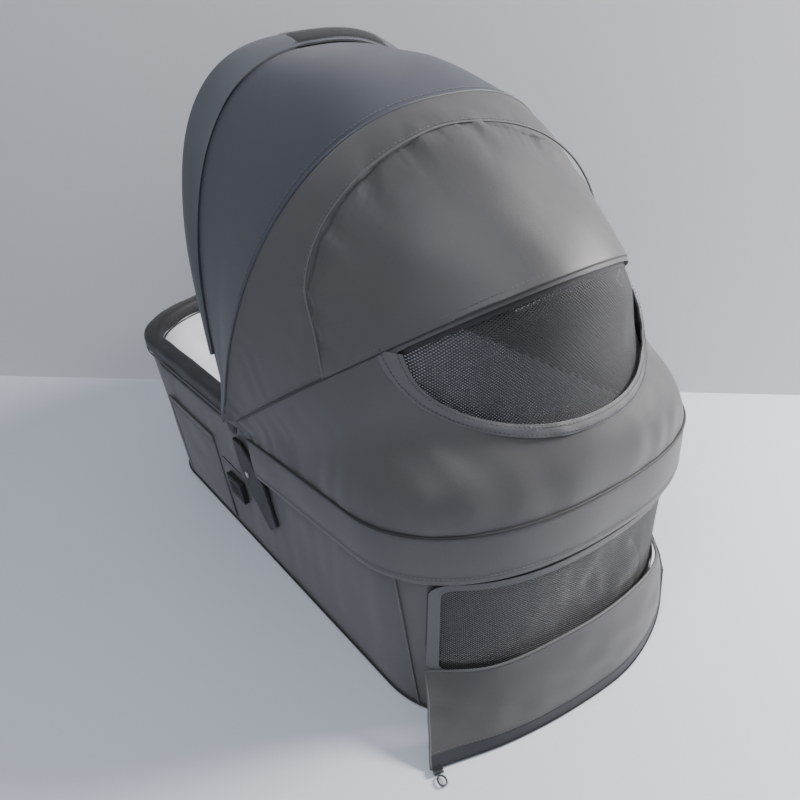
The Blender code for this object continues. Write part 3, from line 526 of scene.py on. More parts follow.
def plan(places, inset):
    side, at_foot, q = places
    foot_x, foot_y = quarter(q, inset, *FOOT_SHAPE)
    head_x, head_y = quarter(q, inset, *HEAD_SHAPE)
    return side * np.where(at_foot, foot_x, head_x), HUB_Y + np.where(at_foot, foot_y, -head_y)


def rim_height(y):
    return RIM_Z + RIM_SLOPE * (y - HUB_Y)


def wall_ring(places, depth, share, low, drop):
    """The wall at a share of the way from a height of low to drop below the rim."""
    _, y = plan(places, depth)
    z = low + (rim_height(y) - drop - low) * share
    x, y = plan(places, depth + WALL_LEAN * (1 - z / RIM_Z))
    return np.stack([x, y, z], axis=-1)


def head_y(x, depth):
    """Where the head wall is at x."""
    half = TUB_HALF - depth
    return HUB_Y - (HEAD_LENGTH - HEAD_CORNER) - (HEAD_CORNER - depth) * np.clip(
        1 - np.abs(x / half) ** HEAD_POWER, 0, 1) ** (1 / HEAD_POWER)


def head_wall(x, z, proud=0.0):
    depth = SHELL_DEPTH - proud + WALL_LEAN * (1 - z / RIM_Z)
    return np.stack([x, head_y(x, depth), z], axis=-1)


def side_wall(side, y, z, proud=0.0):
    """A place on the long straight wall."""
    depth = SHELL_DEPTH - proud + WALL_LEAN * (1 - z / RIM_Z)
    x = side * (TUB_HALF - depth) * np.ones_like(y)
    return np.stack([x, y, z * np.ones_like(y)], axis=-1)


def head_reach(angle, inset):
    """Distance from the hub's middle to the plan outline, on the ray at angle from +X to the head tip."""
    half, straight, corner = TUB_HALF - inset, HEAD_LENGTH - HEAD_CORNER, HEAD_CORNER - inset
    low, high = np.zeros_like(angle), np.full_like(angle, HEAD_LENGTH + TUB_HALF)
    for _ in range(40):
        mid = (low + high) / 2
        across = np.abs(mid * np.cos(angle)) / half
        along = np.maximum(mid * np.sin(angle) - straight, 0) / corner
        inside = across ** HEAD_POWER + along ** HEAD_POWER < 1
        low, high = np.where(inside, mid, low), np.where(inside, high, mid)
    return low


def rounded_window(grow, steps=10):
    """The end window's outline in (x, z), grown by a margin."""
    half, low, high = WINDOW_HALF + grow, WINDOW_LOW - grow, WINDOW_HIGH + grow
    radius = WINDOW_ROUND + grow
    loop = []
    for cx, cz, start in ((half, high, 0), (-half, high, 90), (-half, low, 180), (half, low, 270)):
        x0 = cx - radius * np.sign(cx)
        z0 = cz - radius * (1 if cz == high else -1)
        for i in range(steps + 1):
            a = radians(start + 90 * i / steps)
            loop.append((x0 + radius * cos(a), z0 + radius * sin(a)))
    return loop


def dense_loop(grow, count):
    """The same outline at many even places, as x and z arrays."""
    loop = np.array(rounded_window(grow) + rounded_window(grow)[:1])
    run = np.concatenate([[0], np.cumsum(np.hypot(*np.diff(loop, axis=0).T))])
    at = np.arange(count) / count * run[-1]
    return np.interp(at, run, loop[:, 0]), np.interp(at, run, loop[:, 1])


def build_tub():
    places = stations(520)
    shares = np.linspace(0, 1, 44)
    wall = np.array([wall_ring(places, SHELL_DEPTH, s, 0.0032, BAND_HEIGHT - 0.004) for s in shares])
    fade = np.sin(pi * np.clip(shares, 0, 1))[:, None] ** 0.5
    relief = 0.0011 * waves(wall, 0.16, 11) + 0.0005 * waves(wall, 0.035, 12, stretch=(1, 1, 0.25))
    relief = relief * fade - 0.0010
    cover = cloth("tub_cover", wall, GREY, "carrycot", "outer_fabric", wrap=True, relief=relief)
    cut(cover, rounded_window(0.0))
    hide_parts("tub_shell")

    inner = np.array([wall_ring(places, LINER_DEPTH, s, FLOOR_BOARD_TOP + 0.001, BAND_HEIGHT - 0.003)
                      for s in shares])[:, ::-1]
    soft = np.sin(pi * np.clip(shares * 0.94 + 0.06, 0, 1))[:, None]
    folds = 0.0036 * waves(inner, 0.060, 21, stretch=(1, 1, 0.25))
    folds += 0.0013 * waves(inner, 0.024, 22, stretch=(1, 1, 0.5))
    relief = 0.0045 + folds * soft + 0.0015 * waves(inner, 0.20, 23) * soft
    lining = cloth("liner_cloth", inner, LINER, "carrycot", "liner_fabric", wrap=True, thickness=0.0018,
                   relief=relief)
    cut(lining, rounded_window(0.004))
    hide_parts("tub_liner")
    seam = np.array(wall_ring(places, SHELL_DEPTH - 0.0006, 0.0, 0.0045, 0))
    cord("base_piping", seam, 0.0013, PIPING, "carrycot", closed=True)


def build_rim():
    """The padded rim band, a soft closed roll round the rim tube, with its bound lower edge."""
    places = stations(520)
    half, tall = BAND_WIDTH / 2, BAND_HEIGHT / 2
    rings = []
    for angle in np.linspace(0, 2 * pi, 29)[:-1]:
        c, s = cos(angle), sin(angle)
        across = np.sign(c) * abs(c) ** 0.62
        up = np.sign(s) * abs(s) ** 0.62
        depth, drop = half - half * across, tall - tall * up
        x, y = plan(places, depth + WALL_LEAN * drop / RIM_Z)
        rings.append(np.stack([x, y, rim_height(y) - drop], axis=-1))
    rings = np.array(rings)
    along, _ = grid_lengths(rings)
    pucker = 0.00035 * np.sin(along * 2 * pi / 0.0105 + 2.0 * waves(rings, 0.06, 31))
    swell = 0.0006 * waves(rings, 0.05, 32) + pucker - 0.0003
    points = rings + normals_closed(rings) * swell[..., None]
    roll = closed_roll("rim_padding", points, TRIM, "carrycot")
    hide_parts("rim_band")
    edges = (("rim_binding", -0.0002, 0.0012, BINDING, 0.0011),
             ("rim_inner_binding", BAND_WIDTH - 0.0004, 0.0020, PIPING, 0.0012))
    for name, depth, rise, mat, radius in edges:
        drop = BAND_HEIGHT - rise
        x, y = plan(places, depth + WALL_LEAN * drop / RIM_Z)
        path = np.stack([x, y, rim_height(y) - drop], axis=-1)
        cord(name, path, radius, mat, "carrycot", closed=True)
    x, y = plan(places, -0.0001)
    low = BAND_HEIGHT - 0.0062
    path = np.stack([x, y, rim_height(y) - low], axis=-1)
    stitches("rim_stitching", path, DARK_THREAD, "carrycot", "trim_fabric", spacing=0.005)


def normals_closed(rings):
    """Normals of a tube grid that closes both ways, pointing out of the tube."""
    tube = np.concatenate([rings[-1:], rings, rings[:1]], axis=0)
    return -normals(tube, True)[1:-1] * orientation(rings)


def orientation(rings):
    """1 if the grid's normals point into the tube, -1 if out of it."""
    tube = np.concatenate([rings[-1:], rings, rings[:1]], axis=0)
    normal = normals(tube, True)[1:-1]
    outward = rings - rings.mean(axis=0, keepdims=True)
    return -np.sign((normal * outward).sum())


def closed_roll(name, points, mat, body):
    """A closed roll from a grid that wraps both ways."""
    rows, columns = points.shape[:2]
    faces = [(i * columns + j, i * columns + (j + 1) % columns,
              ((i + 1) % rows) * columns + (j + 1) % columns, ((i + 1) % rows) * columns + j)
             for i in range(rows) for j in range(columns)]
    mesh = plain_mesh(name, points.reshape(-1, 3), faces)
    lay_flat(mesh, *grid_lengths(points), 1)
    turn_out(mesh)
    return finish_mesh(name, mesh, mat, body)


def build_mattress():
    """A crowned pad with a piped edge."""
    places = stations(240)
    low, high = MATTRESS_LOW[2], MATTRESS_HIGH[2]
    tall = high - low
    rim = TUB_HALF - MATTRESS_HIGH[0]
    rings = []
    profile = [(0.010, 0.0), (0.002, 0.15), (0.0, 0.45), (0.001, 0.70), (0.006, 0.90), (0.016, 0.985)]
    for inset, share in profile:
        x, y = plan(places, rim + inset)
        rings.append(np.stack([x, y, np.full_like(x, low + tall * share)], axis=-1))
    x, y = plan(places, rim + 0.016)
    centre = (FOOT_LENGTH - HEAD_LENGTH) / 2 + HUB_Y
    for k in np.linspace(0.92, 0.0, 16):
        crown = 0.985 + 0.015 * (1 - k * k)
        px, py = x * k, centre + (y - centre) * (k if k > 0 else 1e-4)
        quilt = 0.0012 * (np.abs(np.sin((px + py) * 26)) * np.abs(np.sin((px - py) * 26)) - 0.7)
        rings.append(np.stack([px, py, low + tall * crown + quilt - 0.0002], axis=-1))
    grid = np.array(rings)
    pad = cloth("mattress_pad", grid, LINER, "carrycot", "liner_fabric", wrap=True, thickness=0.001)
    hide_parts("mattress")
    x, y = plan(places, rim + 0.004)
    cord("mattress_piping", np.stack([x, y, np.full_like(x, low + tall * 0.88)], axis=-1), 0.0016, LINER,
         "carrycot", closed=True)


def build_end_window():
    columns, rows = 150, 60
    x = np.linspace(-WINDOW_HALF - 0.005, WINDOW_HALF + 0.005, columns)[None, :] * np.ones((rows, 1))
    z = np.linspace(WINDOW_LOW - 0.005, WINDOW_HIGH + 0.005, rows)[:, None] * np.ones((1, columns))
    net = head_wall(x, z, -0.0022)
    slack = np.clip(np.sin(pi * (x / WINDOW_HALF + 1) / 2), 0, 1) * np.sin(
        pi * np.clip((z - WINDOW_LOW) / (WINDOW_HIGH - WINDOW_LOW), 0, 1))
    relief = -0.0035 * slack * (1 + 0.5 * waves(net, 0.09, 41)) + 0.0008 * slack * waves(net, 0.03, 42)
    obj = cloth("end_mesh", net, MESH, "carrycot", "mesh_fabric", thickness=0.0006, relief=relief)
    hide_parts("end_window_mesh")
    strip = []
    for grow in (-0.002, 0.002, 0.006):
        x, z = dense_loop(grow, 260)
        strip.append(head_wall(x, z, 0.0006))
    tape = cloth("end_window_binding", np.array(strip), BINDING, "carrycot", "outer_fabric", wrap=True,
                 thickness=0.0012)
    for index, grow in enumerate((0.0, 0.0045)):
        x, z = dense_loop(grow, 300)
        path = head_wall(x, z, 0.0010)
        stitches(f"end_window_stitching_{index + 1}", path, DARK_THREAD, "carrycot", "outer_fabric",
                 spacing=0.004, length=0.0026, radius=0.00035)


# ---------------------------------------------------------------- the hood's surfaces
def arch_radius(half, radius, power, angle):
    across = np.abs(np.cos(angle)) / half
    up = np.abs(np.sin(angle)) / radius
    return (across ** power + up ** power) ** (-1 / power)


def line_point(line, angle, inset=0.0):
    """Points of a hood line, at angle from +X in its own plane; the line's values may be arrays."""
    half, radius, power, tilt, lean = line
    distance = arch_radius(half - inset, radius - inset, power, angle)
    reach = distance * np.sin(angle)
    across = distance * np.cos(angle) - lean * np.maximum(reach - LEAN_START, 0) / (radius - LEAN_START)
    tilt = np.radians(tilt)
    return np.stack([across, HUB_Y + reach * np.cos(tilt), HUB_Z + reach * np.sin(tilt)], axis=-1)


def between(first, second, share):
    return tuple(a + (b - a) * share for a, b in zip(first, second))


def hub_bulge(angle):
    """How far the panels stand out where they pass over the hub caps."""
    return 0.0030 * np.exp(-(np.sin(angle) / 0.16) ** 2)


def even_angles(start, count):
    return np.linspace(start, pi - start, count)


def piping_height(y):
    return RIM_Z - PIPING_DROP + PIPING_SLOPE * (y - HUB_Y)


def arch_grid(first, second, start, rows, columns, sag):
    angle = even_angles(atan2(start, first[0]), columns)[None, :] * np.ones((rows, 1))
    share = np.linspace(0, 1, rows)[:, None] * np.ones((1, columns))
    dip = sag * np.sin(pi * share) * np.sin(angle)
    return line_point(between(first, second, share), angle, dip), angle, share


def rear_point(angle, share):
    """The rear panel, from the rear bow down to the piping line on the skirt."""
    upper = line_point(REAR_BOW, angle) - np.array([0, HUB_Y, HUB_Z])
    reach = head_reach(angle, -SKIRT_PROUD)
    low_x, low_y = reach * np.cos(angle), -reach * np.sin(angle)
    low_z = piping_height(low_y + HUB_Y) - HUB_Z
    upper_reach, lower_reach = np.hypot(upper[..., 1], upper[..., 2]), np.hypot(low_y, low_z)
    upper_tilt, lower_tilt = np.arctan2(upper[..., 2], upper[..., 1]), np.arctan2(low_z, low_y)
    lower_tilt = np.where(lower_tilt < 0, lower_tilt + 2 * pi, lower_tilt)
    far = upper_reach + (lower_reach - upper_reach) * share
    tilt = upper_tilt + (lower_tilt - upper_tilt) * share
    x = upper[..., 0] + (low_x - upper[..., 0]) * np.sin(pi * share / 2)
    point = np.stack([x, far * np.cos(tilt), far * np.sin(tilt)], axis=-1)
    dip = REAR_PANEL_SAG * (np.sin(pi * share) * np.sin(angle)) ** 3
    point = point * (1 - dip / np.linalg.norm(point, axis=-1))[..., None]
    return point + np.array([0, HUB_Y, HUB_Z])


def hub_blend(obj):
    """Bakes a panel's placement into its mesh."""
    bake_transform(obj)
    return obj


def front_blend(obj):
    return hub_blend(obj)


def middle_blend(obj):
    return hub_blend(obj)


def rear_blend(obj):
    return hub_blend(obj)


def build_hood_band():
    """The padded front band of the hood, rolled over its front edge."""
    grid, angle, share = arch_grid(FRONT_EDGE, BAND_SEAM, BAND_START, 12, 300, 0.0)
    crown = 0.0016 * np.sin(pi * share) ** 0.7 + 0.0004 * waves(grid, 0.09, 51)
    band = cloth("hood_band_cloth", grid[::-1], BAND, "front_bow", "trim_fabric", thickness=0.0035,
                 relief=-crown[::-1] if flips(grid[::-1]) else crown[::-1])
    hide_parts("hood_front_band")
    edge = line_point(FRONT_EDGE, even_angles(atan2(BAND_START, FRONT_EDGE[0]), 240), 0.0020)
    cord("hood_front_roll", edge, 0.0030, BAND, "front_bow", sides=12)
    seam = line_point(BAND_SEAM, even_angles(atan2(PANEL_START, BAND_SEAM[0]), 240), 0.0004)
    cord("hood_band_piping", seam, 0.0012, PIPING, "front_bow")
    row = line_point(between(FRONT_EDGE, BAND_SEAM, 0.82), even_angles(0.45, 240), -0.0012)
    stitches("hood_band_stitching", row, DARK_THREAD, "front_bow", "trim_fabric", spacing=0.0050)


def flips(grid):
    """True if the grid's normals point at the hub."""
    outward = grid - np.array([0, HUB_Y, HUB_Z])
    return (normals(grid, False) * outward).sum() < 0


def outward_cloth(name, grid, mat, body, slot, relief, thickness=CLOTH):
    """Cloth whose face is the side away from the hub."""
    if flips(grid):
        grid, relief = grid[:, ::-1], relief[:, ::-1]
    return cloth(name, grid, mat, body, slot, thickness=thickness, relief=relief)


def build_front_panel():
    grid, angle, share = arch_grid(BAND_SEAM, MID_BOW, PANEL_START, 64, 300, PANEL_SAG)
    held = np.sin(pi * share) ** 0.9
    low = np.clip(1.25 - np.sin(angle) * 1.6, 0, 1)
    folds = 0.0026 * waves(grid, 0.15, 61, stretch=(1, 0.7, 0.4))
    folds += 0.0016 * waves(grid, 0.05, 62, stretch=(0.5, 1.4, 0.3)) * low
    crease = 0.0036 * np.exp(-((angle - 1.33 - 0.35 * share) / 0.085) ** 2) * np.sin(pi * share)
    panel = outward_cloth("hood_front_cloth", grid, SLATE, None, "outer_fabric",
                          (folds - crease) * held + hub_bulge(angle))
    front_blend(panel)
    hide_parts("hood_panel_front")


COVER_SEAM = ((2.19, 1.00), (2.150, 0.72), (2.110, 0.46), (2.020, 0.31), (1.890, 0.235), (1.750, 0.215),
              (1.610, 0.225), (1.437, 0.33), (1.25, 0.52), (1.10, 0.74), (1.00, 1.00))


def build_middle_panel():
    """The middle panel, with the arched seam of its rolled-down window cover and the puckers along it."""
    grid, angle, share = arch_grid(MID_BOW, REAR_BOW, PANEL_START, 96, 420, PANEL_SAG)
    seam_values = smooth_path(COVER_SEAM, 160)
    seam = line_point(between(MID_BOW, REAR_BOW, seam_values[:, 1]), seam_values[:, 0],
                      PANEL_SAG * np.sin(pi * seam_values[:, 1]) * np.sin(seam_values[:, 0]))
    order = np.argsort(seam_values[:, 0])
    edge_share = np.interp(angle, seam_values[order, 0], seam_values[order, 1], left=2.0, right=2.0)
    inside = share > edge_share
    offsets = grid[:, :, None] - seam[None, None, ::2]
    squared = (offsets ** 2).sum(axis=-1)
    nearest = squared.argmin(axis=-1)
    distance = np.sqrt(squared.min(axis=-1))
    run = nearest * 2.0
    pucker = np.sin(run * 0.44 + 1.5 * waves(grid, 0.05, 71)) * np.exp(-distance / 0.022)
    step = np.where(inside, 0.0012 * (1 - np.exp(-distance / 0.003)), -0.0004 * np.exp(-distance / 0.004))
    crease = -0.0010 * np.exp(-(distance / 0.0022) ** 2)
    held = np.clip(np.sin(pi * share), 0, 1) ** 0.5
    folds = 0.0024 * waves(grid, 0.17, 72) * held + 0.0009 * waves(grid, 0.06, 73) * held
    gathers = 0.0015 * np.sin(50 * angle + 1.8 * waves(grid, 0.07, 74)) * np.exp(-np.sin(angle) / 0.28) * held
    puckers = np.where(inside, 0.0024, 0.0011) * pucker * held
    relief = folds + step + crease + puckers + gathers + hub_bulge(angle)
    panel = outward_cloth("hood_middle_cloth", grid, GREY, None, "outer_fabric", relief)
    middle_blend(panel)
    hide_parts("hood_panel_middle")
    proud = line_point(between(MID_BOW, REAR_BOW, seam_values[:, 1]), seam_values[:, 0], -0.0006)
    middle_blend(cord("cover_seam_cord", resample(proud, 0.004), 0.0011, BINDING, None))
    upper = np.clip(seam_values[:, 1] - 0.020, 0, 1)
    row = line_point(between(MID_BOW, REAR_BOW, upper), seam_values[:, 0], -0.0007)
    middle_blend(stitches("cover_seam_stitching", row, THREAD, None, "outer_fabric", *FINE_STITCH))


def build_bow_seams():
    """Cords in the seams over the middle and rear bows, with a row of stitches beside each."""
    angles = even_angles(atan2(PANEL_START, MID_BOW[0]), 260)
    cord("mid_bow_piping", line_point(MID_BOW, angles, 0.0002), 0.0017, SLATE, "mid_bow")
    row = line_point(between(BAND_SEAM, MID_BOW, 0.975), even_angles(0.35, 260), -0.0006)
    stitches("mid_bow_stitching", row, THREAD, "mid_bow", "outer_fabric", *SEAM_STITCH)
    path = line_point(REAR_BOW, angles, 0.0002)
    cord("rear_bow_piping", path, 0.0015, PIPING, "rear_bow")
    row = line_point(between(MID_BOW, REAR_BOW, 0.972), even_angles(0.35, 260), -0.0006)
    stitches("rear_bow_stitching", row, THREAD, "rear_bow", "outer_fabric", *SEAM_STITCH)


def moon_curve(turn, grow):
    """The bowl of the hood window's outline in (x, z), turn going from pi at -X to 2 pi at +X."""
    across, depth = np.cos(turn), np.abs(np.sin(turn)) ** (2 / MOON_POWER)
    across = np.abs(across) ** (2 / MOON_POWER) * np.sign(across)
    ends = MOON_ENDS[0] + (MOON_ENDS[1] - MOON_ENDS[0]) * (across + 1) / 2
    return MOON_SHIFT + (MOON_HALF + grow) * across, HUB_Z + ends - (ends - MOON_LOW + grow) * depth


def moon_loop(grow, steps=48):
    """The hood window's outline in (x, z): a shallow bowl under the rear bow."""
    x, z = moon_curve(pi + pi * np.linspace(0, 1, steps), grow)
    loop = list(zip(x, z))
    for point in line_point(REAR_BOW, even_angles(radians(40), 2 * steps)):
        if abs(point[0] - MOON_SHIFT) < MOON_HALF + grow - 0.002:
            loop.append((point[0], point[2] - MOON_STRIP * 0.6 + grow))
    return loop


def on_rear(x, z, lift=0.0):
    """Places on the rear panel that lie at the given x and z, lifted off it a little."""
    angle = np.arctan2(0.40, x + 0.02)
    share = np.full_like(x, 0.4)
    for _ in range(12):
        here = rear_point(angle, share)
        step = 1e-4
        by_angle = (rear_point(angle + step, share) - here) / step
        by_share = (rear_point(angle, share + step) - here) / step
        det = by_angle[:, 0] * by_share[:, 2] - by_share[:, 0] * by_angle[:, 2]
        miss_x, miss_z = x - here[:, 0], z - here[:, 2]
        angle = angle + np.clip((miss_x * by_share[:, 2] - by_share[:, 0] * miss_z) / det, -0.2, 0.2)
        share = share + np.clip((by_angle[:, 0] * miss_z - miss_x * by_angle[:, 2]) / det, -0.2, 0.2)
    point = rear_point(angle, share)
    outward = point - np.array([0, HUB_Y, HUB_Z])
    return point + outward / np.linalg.norm(outward, axis=1, keepdims=True) * lift


def moon_bowl(grow, count=170):
    """The bowl part of the window's outline, evenly spaced, as x and z arrays."""
    x, z = moon_curve(pi + pi * np.linspace(0.002, 0.998, 400), grow)
    run = np.concatenate([[0], np.cumsum(np.hypot(np.diff(x), np.diff(z)))])
    at = np.linspace(0, run[-1], count)
    return np.interp(at, run, x), np.interp(at, run, z)


def build_rear_panel():
    rows, columns = 90, 420
    angle = even_angles(atan2(PANEL_START, TUB_HALF), columns)[None, :] * np.ones((rows, 1))
    share = np.linspace(0, 1, rows)[:, None] * np.ones((1, columns))
    grid = rear_point(angle, share)
    held = np.clip(np.sin(pi * share), 0, 1) ** 0.6
    height = np.sin(angle)
    gathers = 0.0021 * np.sin(46 * angle + 2.6 * waves(grid, 0.11, 81)) * np.exp(-(1 - share) / 0.20)
    near_hub = 0.0014 * np.sin(52 * angle + 1.5 * waves(grid, 0.07, 85)) * np.exp(-height / 0.30)
    folds = 0.0034 * waves(grid, 0.12, 82, stretch=(1, 1, 0.55)) * np.clip(share * 1.5 - 0.25, 0, 1)
    relief = (folds + gathers + near_hub) * held - 0.0002 + hub_bulge(angle)
    panel = outward_cloth("hood_rear_cloth", grid, GREY, None, "outer_fabric", relief)
    cut(panel, moon_loop(0.0))
    rear_blend(panel)
    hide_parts("hood_panel_rear")

    top = 0.62
    net_angle = np.linspace(radians(46), radians(136), 200)[None, :] * np.ones((60, 1))
    net_share = np.linspace(0.005, top, 60)[:, None] * np.ones((1, 200))
    net_grid = rear_point(net_angle, net_share)
    slack = np.sin(pi * net_share / top) * np.sin(pi * np.linspace(0, 1, 200))[None, :]
    relief = -0.0052 - 0.0020 * slack * (1 + 0.4 * waves(net_grid, 0.11, 83))
    net = outward_cloth("hood_mesh", net_grid, HOOD_MESH, None, "mesh_fabric", relief, 0.0006)
    rear_blend(net)
    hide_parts("hood_window_mesh")

    strip = np.array([on_rear(*moon_bowl(grow), lift) for grow, lift in ((-0.002, 0.0), (0.002, 0.0016),
                                                                      (0.006, 0.0016), (0.010, 0.0002))])
    binding = outward_cloth("hood_window_binding", strip, BINDING, None, "outer_fabric",
                            0.0005 * waves(strip, 0.02, 84), 0.0016)
    rear_blend(binding)
    for index, grow in enumerate((0.0005, 0.0075)):
        row = on_rear(*moon_bowl(grow), 0.0024 if index == 0 else 0.0020)
        rear_blend(stitches(f"hood_window_stitching_{index + 1}", row, DARK_THREAD, None, "outer_fabric",
                            *FINE_STITCH))
    hem = np.array([line_point(REAR_BOW, even_angles(radians(46), 120), 0.001) + np.array(
        [0, 0.0015 - 0.002 * k, -k * 0.011]) for k in (0.0, 0.5, 1.0)])
    tab = outward_cloth("hood_window_top_hem", hem, PIPING, "rear_bow", "outer_fabric",
                        np.zeros(hem.shape[:2]))


def build_thread():
    """A short loose thread end behind the hood's mesh."""
    x, z = np.array([0.052]), np.array([HUB_Z + 0.214])
    start = on_rear(x, z, -0.012)[0]
    steps = ((0, 0, 0.004), (0.001, 0.001, -0.001), (-0.0015, 0.001, -0.006), (0.001, 0.0, -0.011),
             (0.004, -0.001, -0.014))
    drop = [start + np.array(step) for step in steps]
    cord("loose_thread", smooth_path(drop, 24), 0.0006, WHITE_THREAD, "rear_bow", sides=6)


def skirt_ring(drop, proud, count=420):
    angle = even_angles(atan2(SKIRT_START, TUB_HALF), count)
    reach = head_reach(angle, -proud)
    x, y = reach * np.cos(angle), HUB_Y - reach * np.sin(angle)
    return np.stack([x, y, piping_height(y) - drop], axis=-1)


def build_skirt():
    """The skirt that hangs over the rim below the piping, with its turned and stitched hem."""
    shares = np.linspace(0, 1, 34)
    grid = np.array([skirt_ring(SKIRT_HEIGHT * s, SKIRT_PROUD - 0.002 * s) for s in shares])
    bulge = 0.0022 * np.sin(pi * shares)[:, None] ** 0.8
    ripple = 0.0006 * waves(grid, 0.07, 91, stretch=(1, 1, 0.3))
    ripple *= np.sin(pi * np.clip(shares * 0.8 + 0.2, 0, 1))[:, None]
    hem = 0.0008 * (np.clip((shares - 0.88) / 0.03, 0, 1))[:, None]
    skirt = outward_cloth("hood_skirt_cloth", grid, GREY, "carrycot", "outer_fabric", bulge + ripple + hem)
    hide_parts("hood_skirt")
    roll = cord("skirt_hem", skirt_ring(SKIRT_HEIGHT, SKIRT_PROUD - 0.0026), 0.0013, BINDING, "carrycot")
    row = skirt_ring(SKIRT_HEIGHT * 0.87, SKIRT_PROUD + 0.0002)
    stitch = stitches("skirt_stitching", row, THREAD, "carrycot", "outer_fabric", *SEAM_STITCH)
    cord("skirt_piping", skirt_ring(0.0, SKIRT_PROUD + 0.0006), 0.0019, PIPING, "carrycot",
         sides=10)


def build_grip():
    """Leather grip sewn on the top of the front band."""
    low, high = (np.array(c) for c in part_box("leather_grip"))
    half = (high[0] - low[0]) / 2
    centre = (high[0] + low[0]) / 2
    rows, columns = 21, 70
    lines = np.linspace(-0.06, 1.42, rows)
    start = FRONT_EDGE[1]
    places = (centre + np.linspace(-half, half, columns) + FRONT_EDGE[4]) / start   # angles from the top
    angle = (pi / 2 - places)[None, :] * np.ones((rows, 1))
    share = lines[:, None] * np.ones((1, columns))
    grid = line_point(between(FRONT_EDGE, BAND_SEAM, share * 0.78), angle, -0.0030)
    u = np.linspace(-1, 1, columns)[None, :]
    v = np.linspace(-1, 1, rows)[:, None]
    crown = 0.0034 * (1 - np.abs(v) ** 2.6) * (1 - np.abs(u) ** 8) ** 0.5
    groove = 0.0011 * np.exp(-((np.abs(v) - 0.74) / 0.07) ** 2)
    pad = outward_cloth("grip_leather_wrap", grid, LEATHER, "front_bow", "leather", crown - groove, 0.003)
    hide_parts("leather_grip")
    for index, sign in enumerate((-1, 1)):
        row_share = (0.5 + sign * 0.37) * 1.48 - 0.06
        line = between(FRONT_EDGE, BAND_SEAM, row_share * 0.78 * np.ones(columns))
        row = line_point(line, pi / 2 - places, -0.0052)
        stitches(f"grip_stitching_{index + 1}", row, DARK_THREAD, "front_bow", "leather", 0.004, 0.0026,
                 0.0005)


# ---------------------------------------------------------------- the end flap
def solid_points(node):
    return np.array([v.co for v in frame["nodes"][node].data.vertices])


def flap_lines():
    """Corners of the fold and of the free edge from +X to -X, read from the five stretches' solids."""
    fold, edge = [], []
    for index in range(1, 6):
        points, tape = solid_points(f"flap_fabric_{index}"), solid_points(f"flap_tape_{index}")
        top = points[points[:, 2] > points[:, 2].max() - 0.012]
        low = tape[tape[:, 2] < tape[:, 2].min() + 0.004]
        for source, target in ((top, fold), (low, edge)):
            right, left = source[source[:, 0].argmax()], source[source[:, 0].argmin()]
            target.append((right, left))
    joined = []
    for pairs in (fold, edge):
        line = [pairs[0][0]]
        line += [(a[1] + b[0]) / 2 for a, b in zip(pairs[:-1], pairs[1:])]
        line.append(pairs[-1][1])
        joined.append(line)
    fold = joined[0]
    for end, neighbour in ((0, 1), (-1, -2)):
        way = fold[end] - fold[neighbour]
        fold[end] = fold[end] + way / np.linalg.norm(way) * FOLD_RUN_ON
    return joined


FOLD_RUN_ON = 0.015         # the cloth runs on past the last stretches, on their own hinge lines
FLAP_PIECES = (("flap_cloth_right_end", 1.5, 0.0, ("flap_2", "flap_1"), 1),
               ("flap_cloth_right", 2.35, 1.5, ("flap_3", "flap_2"), 2),
               ("flap_cloth_centre", 2.65, 2.35, ("flap_3",), 0),
               ("flap_cloth_left", 3.5, 2.65, ("flap_3", "flap_4"), 3),
               ("flap_cloth_left_end", 5.0, 3.5, ("flap_4", "flap_5"), 4))


def flap_ride(obj, bodies, hinge, fold):
    """Rides one stretch; a piece over the hinge between two only has its placement baked into its mesh."""
    if len(bodies) == 1:
        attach(obj, bodies[0])
        return obj
    inner = fold[hinge + 1] if hinge < 3 else fold[hinge - 1]
    outer = fold[hinge - 1] if hinge < 3 else fold[hinge + 1]
    way = np.array(outer) - np.array(inner)
    way = way / np.linalg.norm(way) * 0.028
    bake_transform(obj)
    return obj


def face_out(name, grid, mat, slot, thickness):
    """Cloth whose face is the side away from the tub."""
    if (normals(grid, False)[..., 1] > 0).mean() > 0.5:
        grid = grid[:, ::-1]
    return cloth(name, grid, mat, None, slot, thickness=thickness)


